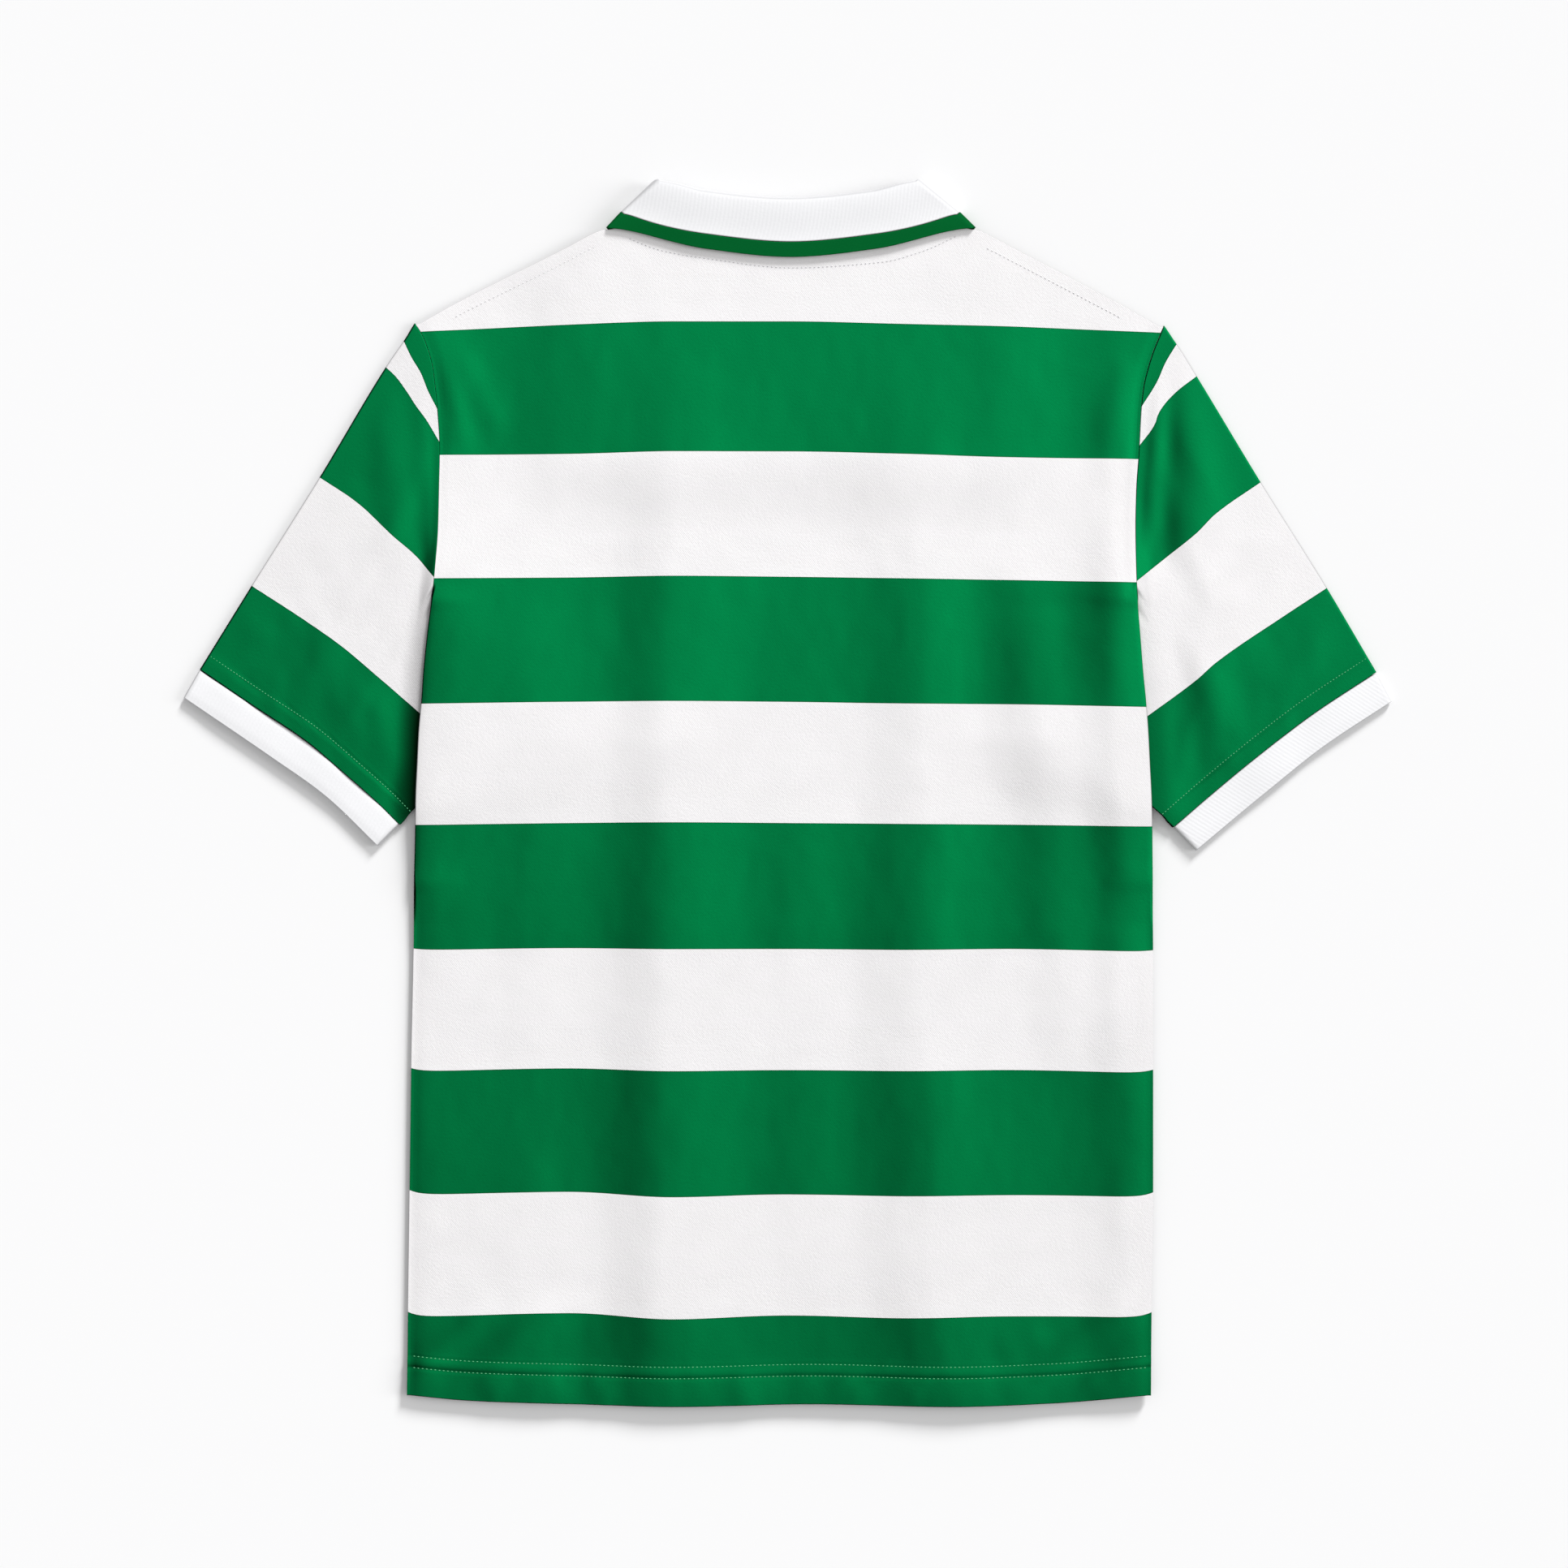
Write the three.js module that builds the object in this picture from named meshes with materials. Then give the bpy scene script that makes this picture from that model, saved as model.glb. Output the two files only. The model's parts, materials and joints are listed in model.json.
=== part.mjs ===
// Football jersey lying flat with its back up. Millimetres, +Z up, collar toward +Y.
// The front panel rests on z = 0. The sleeve at -X is the wearer's left.
import * as THREE from 'three';

const CLOTH = 1.0; // thickness of the knitted body and sleeve cloth
const RIB = 1.3; // thickness of the collar and its band
const CUFF = 1.5; // thickness of the rib cuffs
const GAP = 0.3; // clearance at every seam
const PLY = CLOTH + GAP; // one layer of cloth on another, middle to middle
const BASE = 0.5 * CLOTH; // middle of the lowest layer
const FRONT_LIFT = 1.6; // rise of the front panel over the collar's leaves
const BACK_LIFT = 2.0; // and of the back panel there

const GREEN = new THREE.MeshStandardMaterial({ name: 'hooped_cloth', color: 0x037c44, roughness: 0.9 });
const WHITE = new THREE.MeshStandardMaterial({ name: 'white_rib', color: 0xf4f2f2, roughness: 0.9 });
const TRIM = new THREE.MeshStandardMaterial({ name: 'green_trim', color: 0x075f29, roughness: 0.9 });

// Smooth curve through table rows: column 0 is the place, column `col` the value.
function curve(rows, col = 1) {
  const n = rows.length;
  const step = [];
  for (let i = 0; i < n - 1; i += 1) {
    step.push((rows[i + 1][col] - rows[i][col]) / (rows[i + 1][0] - rows[i][0]));
  }
  const slope = rows.map((row, i) => {
    if (i === 0) return step[0];
    if (i === n - 1) return step[n - 2];
    const [a, b] = [step[i - 1], step[i]];
    return a * b <= 0 ? 0 : (2 * a * b) / (a + b);
  });
  return (place) => {
    if (place <= rows[0][0]) return rows[0][col];
    if (place >= rows[n - 1][0]) return rows[n - 1][col];
    let i = 0;
    while (place > rows[i + 1][0]) i += 1;
    const width = rows[i + 1][0] - rows[i][0];
    const t = (place - rows[i][0]) / width;
    const [t2, t3] = [t * t, t * t * t];
    return (
      rows[i][col] * (2 * t3 - 3 * t2 + 1) +
      slope[i] * width * (t3 - 2 * t2 + t) +
      rows[i + 1][col] * (3 * t2 - 2 * t3) +
      slope[i + 1] * width * (t3 - t2)
    );
  };
}

const mix = (a, b, t) => a + (b - a) * t;
const mix2 = (a, b, t) => [mix(a[0], b[0], t), mix(a[1], b[1], t)];

function ease(from, to, value) {
  const t = Math.min(1, Math.max(0, (value - from) / (to - from)));
  return t * t * (3 - 2 * t);
}

// Side edges of the body as seen from above: y, left x, right x
const SIDE_EDGE = [
  [-369.5, -234.25, 223.4],
  [-320.5, -233.75, 223.9],
  [-245.5, -232.75, 224.9],
  [-169.5, -231.75, 224.9],
  [-95, -230.25, 224.9],
  [-60.5, -229.75, 224.4],
  [-19.5, -228.75, 223.9],
  [-0.5, -228.4, 223.4],
  [19.5, -227.5, 222.4],
  [39.5, -226.5, 221.4],
  [59.5, -224.75, 219.9],
  [74.5, -223.75, 218.4],
  [99.5, -221.25, 216.4],
  [119.5, -218.75, 214.9],
  [139.5, -216.75, 214.25],
  [164.5, -215, 213.9],
  [189.5, -214.5, 214.5],
  [212, -214.05, 216.1],
  [238, -215.5, 217.45],
  [252, -216.9, 218.9],
  [265, -218.75, 222.0],
  [275.5, -221.75, 225.4],
  [283, -224.8, 228.5],
  [289.5, -228.75, 231],
];

// Below the armhole the body's edge is folded under over the tucked sleeve:
// y, height of the back's middle, turn in degrees, width of the part folded under
const UNDERARM = [
  [-80, 1.8, 0, 0],
  [-62, 3.6, 45, 0],
  [-52, 5.1, 100, 0],
  [-42, 4.9, 180, 1],
  [-30, 5.4, 180, 2],
  [-16, 6.5, 180, 4.5],
  [-8, 7.0, 180, 9.5],
  [0, 7.0, 180, 18],
  [10, 7.0, 180, 28],
  [22, 7.0, 180, 37.5],
  [28, 7.0, 180, 41],
  [32.5, 7.0, 180, 42],
  [45, 7.0, 180, 35],
  [65, 7.0, 180, 25],
  [85, 7.0, 180, 17.5],
  [100, 7.0, 180, 10],
  [112, 7.0, 180, 3],
  [119, 7.5, 120, 0],
  [125, 6.0, 60, 0],
  [130.5, 4.2, 0, 0],
  [145, 3.4, 0, 0],
  [165, 2.4, 0, 0],
  [190, 1.8, 0, 0],
];
const ARMPIT = 32.5;
const HEM_SIDE = -369.5;
const SHOULDER_TIP = [289.5, 288]; // left, right
const ROW_Y = [
  -369.5, -350, -320, -280, -235, -190, -145, -105, -80, -62, -52, -42, -30, -16, -8, 0, 10, 22, 28, 32.5,
  45, 65, 85, 100, 112, 119, 125, 130.5, 145, 165, 190, 215, 240, 260, 276, 289.5,
];

// Lower edge of the hem: x, y
const HEM = [
  [-234.25, -369.5],
  [-195, -373],
  [-130, -375],
  [-70, -376.5],
  [15, -375],
  [100, -376.5],
  [165, -374.5],
  [223.4, -369.5],
];
// Shoulder edges and neck seams: x, y
const SHOULDER_LEFT = [
  [-228.75, 289.5],
  [-201.75, 304.5],
  [-135.25, 337.3],
  [-120, 343],
  [-112, 345.3],
  [-104, 349.8],
];
const SHOULDER_RIGHT = [
  [107.5, 350],
  [116, 345.3],
  [124, 342.6],
  [139, 335.7],
  [205, 302.5],
  [231, 288],
];
const BACK_NECK = [
  [-104, 349.8],
  [-80, 345],
  [-50, 339.6],
  [2, 335.5],
  [60, 339.4],
  [87, 345.2],
  [107.5, 350],
];
const NECK_POINT = [1, 240]; // lowest point of the front's V

// Long soft folds of the back: x and y at the top end, x and y at the lower end, half width, height
const FOLDS = [
  [-66, 310, -80, -420, 20, 3.0],
  [4, 210, 14, -340, 17, 0.8],
  [80, 300, 88, -420, 19, 2.4],
  [100, -150, 108, -430, 22, 1.3],
  [138, 200, 180, -200, 15, 1.2],
  [200, 310, 206, -200, 11, 1.4],
  [205, -60, 219, -430, 15, 1.8],
  [-160, -180, -160, -430, 16, 0.9],
  [-158, 150, -156, -200, 14, 0.4],
];

// Columns across a panel, as shares of its width
const BACK_COLUMNS = [
  0, 0.035, 0.075, 0.115, 0.155, 0.195, 0.235, 0.2713, 0.295, 0.318, 0.338, 0.36, 0.385, 0.42, 0.46, 0.5, 0.54,
  0.58, 0.62, 0.655, 0.69, 0.7314, 0.765, 0.8, 0.835, 0.87, 0.905, 0.94, 0.97, 1,
];
const FRONT_COLUMNS = [
  0, 0.06, 0.12, 0.18, 0.23, 0.2713, 0.31, 0.36, 0.42, 0.4997, 0.58, 0.64, 0.69, 0.7314, 0.77, 0.82, 0.88, 0.94, 1,
];

const TURN_LENGTH = Math.PI * 0.5 * PLY; // cloth used by a full fold
const FLAP_MIN = 0.4;

const edgeX = [curve(SIDE_EDGE, 1), curve(SIDE_EDGE, 2)];
const stackHeight = curve(UNDERARM, 1);
const turnAngle = curve(UNDERARM, 2);
const tuckWidth = curve(UNDERARM, 3);
const hemY = curve(HEM);
const shoulders = [curve(SHOULDER_LEFT), curve(SHOULDER_RIGHT)];
const backNeck = curve(BACK_NECK);
const frontNeck = (x) => {
  const [endX, endY] = x < NECK_POINT[0] ? BACK_NECK[0] : BACK_NECK[BACK_NECK.length - 1];
  return mix(NECK_POINT[1], endY, (x - NECK_POINT[0]) / (endX - NECK_POINT[0]));
};

function topY(x, neck) {
  if (x < BACK_NECK[0][0]) return shoulders[0](x);
  if (x > BACK_NECK[BACK_NECK.length - 1][0]) return shoulders[1](x);
  return neck(x);
}

function sideY(side, y) {
  const share = (y - HEM_SIDE) / (SHOULDER_TIP[0] - HEM_SIDE);
  return mix(HEM_SIDE, SHOULDER_TIP[side], share);
}

// Where the collar's front leaves lie under the front panel, it is lifted over them.
function neckLift(x, y) {
  return ease(190, 116, Math.abs(x - 2)) * ease(160, 208, y);
}

function foldHeight(x, y) {
  let height = 0;
  for (const [xTop, yTop, xLow, yLow, width, rise] of FOLDS) {
    const t = (y - yLow) / (yTop - yLow);
    const fade = ease(0, 0.15, t) * ease(1, 0.75, t);
    const away = (x - mix(xLow, xTop, t)) / width;
    height += rise * fade * Math.exp(-0.5 * away * away);
  }
  return height * ease(322, 285, y);
}

function frontHeight(x, y) {
  return BASE + FRONT_LIFT * neckLift(x, y);
}

// Middle of the back panel: on the front, over the tucked sleeves and over the collar.
function backHeight(x, y) {
  let height = BASE + PLY + BACK_LIFT * neckLift(x, y) + foldHeight(x, y);
  const lift = stackHeight(y) - BASE - PLY;
  const tuck = tuckWidth(y);
  for (const side of [0, 1]) {
    const inside = Math.abs(x - edgeX[side](y));
    height += lift * (1 - ease(tuck + 2, tuck + 62, inside));
    height -= foldHeight(x, y) * (1 - ease(2, 26, inside));
  }
  return height;
}

// The edge's profile from the panel's flat part outward: [out from the outline, down] in order.
function edgeProfile(y) {
  const angle = (turnAngle(y) * Math.PI) / 180;
  const flap = FLAP_MIN + tuckWidth(y);
  const radius = TURN_LENGTH / Math.max(angle, 1e-6);
  const flat = angle < 1e-3;
  const reach = flat
    ? TURN_LENGTH + flap
    : angle < Math.PI / 2
      ? radius * Math.sin(angle) + flap * Math.cos(angle)
      : radius;
  const points = [];
  for (let k = 0; k <= 4; k += 1) {
    const part = (angle * k) / 4;
    points.push(
      flat ? [(TURN_LENGTH * k) / 4 - reach, 0] : [radius * Math.sin(part) - reach, radius * (1 - Math.cos(part))],
    );
  }
  const end = points[4];
  const bend = y < ARMPIT - 2 ? Math.max(0, (stackHeight(y) - BASE - 3 * PLY) / 2) : 0;
  const last = flap > 8 ? flap - 3.5 : flap * 0.5;
  for (const [length, extra] of [[last, 0], [flap, flat ? 0 : bend * (turnAngle(y) > 170 ? 1 : 0)]]) {
    points.push([end[0] + length * Math.cos(angle), end[1] + length * Math.sin(angle) + extra]);
  }
  return points;
}

// Grid of middle points of one body panel; rows from hem to shoulder, columns from left to right.
function panelGrid(columns, neck, height, down) {
  return ROW_Y.map((rowY) => {
    const share = (rowY - HEM_SIDE) / (SHOULDER_TIP[0] - HEM_SIDE);
    const profile = edgeProfile(rowY);
    const ends = [0, 1].map((side) => edgeX[side](rowY) + (side ? 1 : -1) * profile[0][0]);
    const place = (u) => {
      const x = mix(ends[0], ends[1], u);
      const topPlace = mix(SHOULDER_LEFT[0][0], SHOULDER_RIGHT[5][0], u);
      const y = mix(hemY(mix(HEM[0][0], HEM[HEM.length - 1][0], u)), topY(topPlace, neck), share);
      return [x, y];
    };
    const flat = columns.map((u) => {
      const [x, y] = place(u);
      return new THREE.Vector3(x, y, height(x, y));
    });
    const sides = [0, 1].map((side) => {
      const first = side ? flat[flat.length - 1] : flat[0];
      return profile.slice(1).map(([out, drop]) => {
        const x = edgeX[side](rowY) + (side ? 1 : -1) * out;
        return new THREE.Vector3(x, first.y, first.z - down * drop);
      });
    });
    return [...sides[0].reverse(), ...flat, ...sides[1]];
  });
}

// Closed wall of cloth about a grid of middle points. `round` joins the last column to the first.
function wall(grid, thickness, round = false) {
  const rows = grid.length;
  const cols = grid[0].length;
  const normals = grid.map((row) => row.map(() => new THREE.Vector3()));
  const lastCol = round ? cols : cols - 1;
  const at = (r, c) => [r, c % cols];
  const addFace = (corners) => {
    const [a, b, c] = corners.map(([r, k]) => grid[r][k]);
    const face = new THREE.Vector3().subVectors(b, a).cross(new THREE.Vector3().subVectors(c, a));
    for (const [r, k] of corners) normals[r][k].add(face);
  };
  for (let r = 0; r < rows - 1; r += 1) {
    for (let c = 0; c < lastCol; c += 1) {
      addFace([at(r, c), at(r, c + 1), at(r + 1, c + 1)]);
      addFace([at(r, c), at(r + 1, c + 1), at(r + 1, c)]);
    }
  }
  const positions = [];
  for (const sign of [0.5, -0.5]) {
    grid.forEach((row, r) =>
      row.forEach((point, c) => {
        const shifted = normals[r][c].clone().normalize().multiplyScalar(sign * thickness).add(point);
        positions.push(shifted.x, shifted.y, shifted.z);
      }),
    );
  }
  const under = rows * cols;
  const id = (r, c) => r * cols + (c % cols);
  const index = [];
  const quad = (a, b, c, d) => index.push(a, b, c, a, c, d);
  for (let r = 0; r < rows - 1; r += 1) {
    for (let c = 0; c < lastCol; c += 1) {
      quad(id(r, c), id(r, c + 1), id(r + 1, c + 1), id(r + 1, c));
      quad(under + id(r, c), under + id(r + 1, c), under + id(r + 1, c + 1), under + id(r, c + 1));
    }
  }
  for (let c = 0; c < lastCol; c += 1) {
    const top = rows - 1;
    quad(under + id(0, c), under + id(0, c + 1), id(0, c + 1), id(0, c));
    quad(id(top, c), id(top, c + 1), under + id(top, c + 1), under + id(top, c));
  }
  if (!round) {
    for (let r = 0; r < rows - 1; r += 1) {
      const end = cols - 1;
      quad(under + id(r + 1, 0), under + id(r, 0), id(r, 0), id(r + 1, 0));
      quad(id(r + 1, end), id(r, end), under + id(r, end), under + id(r + 1, end));
    }
  }
  const geometry = new THREE.BufferGeometry();
  geometry.setAttribute('position', new THREE.Float32BufferAttribute(positions, 3));
  geometry.setIndex(index);
  geometry.computeVertexNormals();
  return geometry;
}

// Sleeve outlines seen from above, from the shoulder down and from the outer edge in.
const SLEEVES = [
  {
    sign: -1,
    outer: [[-229.05, 289.5], [-236.25, 279], [-247.25, 263], [-287.75, 195.5], [-329.75, 128.5], [-361.75, 76.75]],
    seam: [[-361.75, 76.75], [-329.5, 55], [-296, 32.75], [-273.75, 14], [-251.25, -6], [-239.25, -18]],
    end: [[-371.5, 59.5], [-318.25, 23.2], [-284.75, -0.7], [-252.5, -31.5]],
  },
  {
    sign: 1,
    outer: [[231.3, 288], [239.5, 277], [251.6, 257.6], [291.75, 191], [331.75, 127], [362.2, 75.2]],
    seam: [[362.2, 75.2], [323.1, 49.5], [285.2, 20.5], [258.4, -1.8], [237.7, -19.7]],
    end: [[371.8, 57.3], [329.8, 29.5], [291.9, -0.7], [251.7, -34.2]],
  },
];

// A path through plan points read by its share of length.
function path(points) {
  const rowsX = [];
  const rowsY = [];
  let length = 0;
  points.forEach(([x, y], i) => {
    if (i > 0) length += Math.hypot(x - points[i - 1][0], y - points[i - 1][1]);
    rowsX.push([length, x]);
    rowsY.push([length, y]);
  });
  const [fx, fy] = [curve(rowsX), curve(rowsY)];
  return (share) => [fx(share * length), fy(share * length)];
}

const ARM_ROWS = ROW_Y.filter((y) => y >= ARMPIT).reverse();

// Armhole edges of the two panels: plan place, heights of both and the turn, from the shoulder down.
function armholeStations(side) {
  const outward = side ? 1 : -1;
  const seamGap = 1.7 * GAP; // the panels' and the sleeve's edges slant away from each other
  return ARM_ROWS.map((rowY) => {
    const profile = edgeProfile(rowY);
    const [out, drop] = profile[profile.length - 1];
    const x = edgeX[side](rowY) + outward * out;
    const y = sideY(side, rowY);
    const first = edgeX[side](rowY) + outward * profile[0][0];
    const half = (turnAngle(rowY) * Math.PI) / 360;
    const away = seamGap + CLOTH * Math.sin(half);
    return {
      place: [x + outward * away * Math.cos(half), y],
      top: backHeight(first, y) - drop - away * Math.sin(half),
      bottom: frontHeight(first, y) + drop + away * Math.sin(half),
    };
  });
}

// Height of a sleeve's lower layer: on the floor, and lifted where it runs in under the body.
function sleeveFloor(side, x, y) {
  const outside = (side ? 1 : -1) * (x - edgeX[side](y));
  const near = 1 - ease(8, 34, outside);
  const level = ease(-30, -8, y) * ease(150, 119, y);
  return BASE + 2 * PLY * near * level;
}

// Folds along a sleeve: share across at the armhole, share across at the cuff, half width, height
const SLEEVE_FOLDS = [
  [0.3, 0.42, 0.05, 0.8],
  [0.55, 0.62, 0.06, 0.9],
];

function sleeveRings(side, shares) {
  const { sign, outer, seam } = SLEEVES[side];
  const stations = armholeStations(side);
  const lengths = [0];
  stations.forEach((s, i) => {
    if (i === 0) return;
    const before = stations[i - 1].place;
    lengths.push(lengths[i - 1] + Math.hypot(s.place[0] - before[0], s.place[1] - before[1]));
  });
  const total = lengths[lengths.length - 1];
  const last = stations[stations.length - 1];
  last.place = [last.place[0] + sign * 2.5, last.place[1] + 1.5];
  const [outerAt, seamAt] = [path(outer), path(seam)];
  const armpit = last.place;
  const inner = seam[seam.length - 1];
  const tip = stations[0].place;
  const corner = seam[0];
  const fold = PLY / 2;
  const plan = (s, i) => {
    const t = lengths[i] / total;
    const start = stations[i].place;
    const finish = seamAt(t);
    const edge = outerAt(s);
    const under = mix2(armpit, inner, s);
    return [0, 1].map(
      (k) =>
        mix(start[k], finish[k], s) +
        mix(edge[k], under[k], t) -
        mix(mix(tip[k], armpit[k], t), mix(corner[k], inner[k], t), s),
    );
  };
  const inward = (s) => {
    const [a, b] = [outerAt(Math.max(0, s - 0.02)), outerAt(Math.min(1, s + 0.02))];
    const size = Math.hypot(b[0] - a[0], b[1] - a[1]);
    return [(sign * (b[1] - a[1])) / size, (-sign * (b[0] - a[0])) / size];
  };
  return shares.map((s) => {
    const tops = [];
    const bottoms = [];
    stations.forEach((station, i) => {
      const t = lengths[i] / total;
      const [x0, y0] = plan(s, i);
      const shift = inward(s);
      const pull = fold * (1 - ease(0, 0.08, t)) * ease(0, 0.05, s);
      const [x, y] = [x0 + shift[0] * pull, y0 + shift[1] * pull];
      const settle = ease(0, 0.14, s);
      const floor = sleeveFloor(side, x, y);
      let swell = 1.1 * Math.sin(Math.PI * t) * ease(0, 0.3, s);
      for (const [from, to, width, rise] of SLEEVE_FOLDS) {
        swell += rise * ease(0.02, 0.2, s) * ease(1.1, 0.7, s) * Math.exp(-0.5 * ((t - mix(from, to, s)) / width) ** 2);
      }
      const level = (floor - BASE) / (2 * PLY);
      const roof = floor + PLY + swell * (1 - level);
      bottoms.push(new THREE.Vector3(x, y, mix(station.bottom, floor, settle)));
      tops.push(new THREE.Vector3(x, y, mix(station.top, roof, settle)));
    });
    const foldPoint = (edge, next) => {
      const size = Math.hypot(edge[0].x - next.x, edge[0].y - next.y);
      return new THREE.Vector3(
        edge[0].x + (fold * (edge[0].x - next.x)) / size,
        edge[0].y + (fold * (edge[0].y - next.y)) / size,
        (edge[0].z + edge[1].z) / 2,
      );
    };
    const n = tops.length - 1;
    const outerFold = foldPoint([tops[0], bottoms[0]], tops[1]);
    const underFold = foldPoint([tops[n], bottoms[n]], tops[n - 1]);
    const ring = [outerFold, ...tops, underFold, ...bottoms.reverse()];
    return side ? ring.reverse() : ring;
  });
}

// The cuff goes on from the sleeve's seam edge, a little thicker and gently flared.
function cuffRings(side) {
  const { seam, end } = SLEEVES[side];
  const [seamAt, endAt] = [path(seam), path(end)];
  const stations = 15;
  return [0.02, 0.34, 0.67, 1].map((s) => {
    const tops = [];
    const bottoms = [];
    for (let i = 0; i <= stations; i += 1) {
      const t = i / stations;
      const inset = 0.006 + 0.988 * t;
      const [x, y] = mix2(seamAt(inset), endAt(inset), s);
      const swell = 0.9 * Math.sin(Math.PI * t) + 0.5 * Math.sin(2.5 * Math.PI * t) ** 2;
      bottoms.push(new THREE.Vector3(x, y, 0.5 * CUFF));
      tops.push(new THREE.Vector3(x, y, 1.5 * CUFF + GAP + swell));
    }
    const fold = (CUFF + GAP) / 2;
    const foldPoint = (edge, next) => {
      const size = Math.hypot(edge.x - next.x, edge.y - next.y);
      return new THREE.Vector3(
        edge.x + (fold * (edge.x - next.x)) / size,
        edge.y + (fold * (edge.y - next.y)) / size,
        CUFF + 0.5 * GAP,
      );
    };
    const outerFold = foldPoint(tops[0], tops[1]);
    const underFold = foldPoint(tops[stations], tops[stations - 1]);
    const ring = [outerFold, ...tops, underFold, ...bottoms.reverse()];
    return side ? ring.reverse() : ring;
  });
}

// The collar runs from one front end round the back of the neck to the other. Its lines, from the
// neck seam to the free edge, each have: turn points at the two sides, the back line's height table,
// the inset of the turn's axis, the radius there, the axis height, mid-back height and front ends.
const SLANT = 0.7;
const ACROSS = Math.sqrt(1 - SLANT * SLANT);
const FOLD_BACK = [[-83, 376.5], [-50, 369.6], [0.5, 365.25], [51, 369.6], [84, 376.5]];
const SPLIT_BACK = [[-104, 357.6], [-97, 354.7], [-50, 344.3], [2, 340.25], [54, 344.3], [100, 354.7], [107, 357.4]];
const EDGE_BACK = [[-111.25, 348.5], [-97, 346.2], [-50, 335.4], [2, 331.5], [54, 335.4], [100, 346.2], [115.25, 348.5]];
const STAND_ROOM = 2.05;
const FALL_ROOM = 3.7;
const LINES = {
  seam: {
    turn: [[-103.1, 351.2], [106.7, 351.4]], back: null,
    inset: 0, radius: 0.83, axis: 3.13, middle: 3.96, front: [[-0.2, 241.2], [2.2, 241.2]],
  },
  stand: {
    turn: [[-83.3, 375.9], [84.3, 375.9]], back: curve(FOLD_BACK),
    inset: FALL_ROOM, radius: STAND_ROOM, axis: 4.35, middle: 3.96, front: [[-2.2, 246.2], [4.2, 246.2]],
  },
  fall: {
    turn: [[-83.3, 375.9], [84.3, 375.9]], back: curve(FOLD_BACK),
    inset: FALL_ROOM, radius: FALL_ROOM, axis: 4.35, middle: 8.4, front: [[-2.2, 246.2], [4.2, 246.2]],
  },
  split: {
    turn: [[-102.75, 357.5], [106.25, 357.25]], back: curve(SPLIT_BACK),
    inset: 3.0, radius: 3.0, axis: 3.65, middle: 7.2, front: [[-52.5, 229.5], [54.5, 229.5]],
  },
  edge: {
    turn: [[-111.25, 348.5], [115.25, 348.5]], back: curve(EDGE_BACK),
    inset: 2.3, radius: 2.3, axis: 2.95, middle: 6.2, front: [[-60, 223], [62, 223]],
  },
};

const FRONT_SHARES = [1, 0.86, 0.7, 0.54, 0.38, 0.24, 0.12, 0.04];
const TURN_ANGLES = [-90, -45, 0, 45, 90];
const BACK_SHARES = [-0.94, -0.84, -0.68, -0.5, -0.3, -0.1, 0.1, 0.3, 0.5, 0.68, 0.84, 0.94];

function collarStations() {
  const front = (side) => FRONT_SHARES.map((s) => ({ part: 'front', side, s }));
  const turn = (side) => TURN_ANGLES.map((angle) => ({ part: 'turn', side, angle: (angle * Math.PI) / 180 }));
  return [
    ...front(0),
    ...turn(0),
    ...BACK_SHARES.map((s) => ({ part: 'back', side: s < 0 ? 0 : 1, s })),
    ...turn(1).reverse(),
    ...front(1).reverse(),
  ];
}

// Direction in plan from the collar's body out past its fold line.
function foldDirection({ part, side, s }) {
  const sign = side ? -1 : 1;
  const turned = [sign * ACROSS, SLANT];
  let target = turned;
  let share = 0;
  if (part === 'back') {
    target = [0, 1];
    share = ease(1, 0.8, Math.abs(s));
  }
  if (part === 'front') {
    target = [sign * 0.854, 0.52];
    share = ease(0, 0.3, s);
  }
  const [x, y] = mix2(turned, target, share);
  const size = Math.hypot(x, y);
  return [x / size, y / size];
}

// A point of one collar line at one station; `back` lines keep a distance `hold` below the outline.
function linePoint(line, station, hold = 0) {
  const side = station.side;
  const outward = [side ? SLANT : -SLANT, ACROSS];
  const axis = (k) => {
    const sign = k ? 1 : -1;
    const slope = [-sign * SLANT, -ACROSS];
    return [line.turn[k][0] + slope[0] * line.inset, line.turn[k][1] + slope[1] * line.inset];
  };
  if (station.part === 'turn') {
    const [x, y] = axis(side);
    const out = line.radius * Math.cos(station.angle);
    return new THREE.Vector3(
      x + outward[0] * out, y + outward[1] * out, line.axis + line.radius * Math.sin(station.angle),
    );
  }
  if (station.part === 'front') {
    const [x, y] = mix2(axis(side), line.front[side], station.s);
    const low = line.axis - line.radius;
    return new THREE.Vector3(x, y, low);
  }
  const x = mix(axis(0)[0], axis(1)[0], (station.s + 1) / 2);
  const edge = Math.abs(station.s) ** 4;
  const joined = axis(side)[1];
  const y = mix(line.back(x) - hold, joined, Math.abs(station.s) ** 16);
  return new THREE.Vector3(x, y, mix(line.middle, line.axis + line.radius, edge));
}

function seamPoint(station) {
  const line = LINES.seam;
  if (station.part === 'front') {
    const start = line.turn[station.side];
    const [x, y] = mix2(start, line.front[station.side], station.s);
    return new THREE.Vector3(x, Math.max(y, frontNeck(x) + 1.5 * GAP), line.axis - line.radius);
  }
  if (station.part === 'turn') return linePoint(line, station);
  const x = mix(line.turn[0][0], line.turn[1][0], (station.s + 1) / 2);
  return new THREE.Vector3(x, backNeck(x) + 1.3 * GAP + 0.8 * ease(60, 92, Math.abs(x - 2)), line.middle);
}

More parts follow.
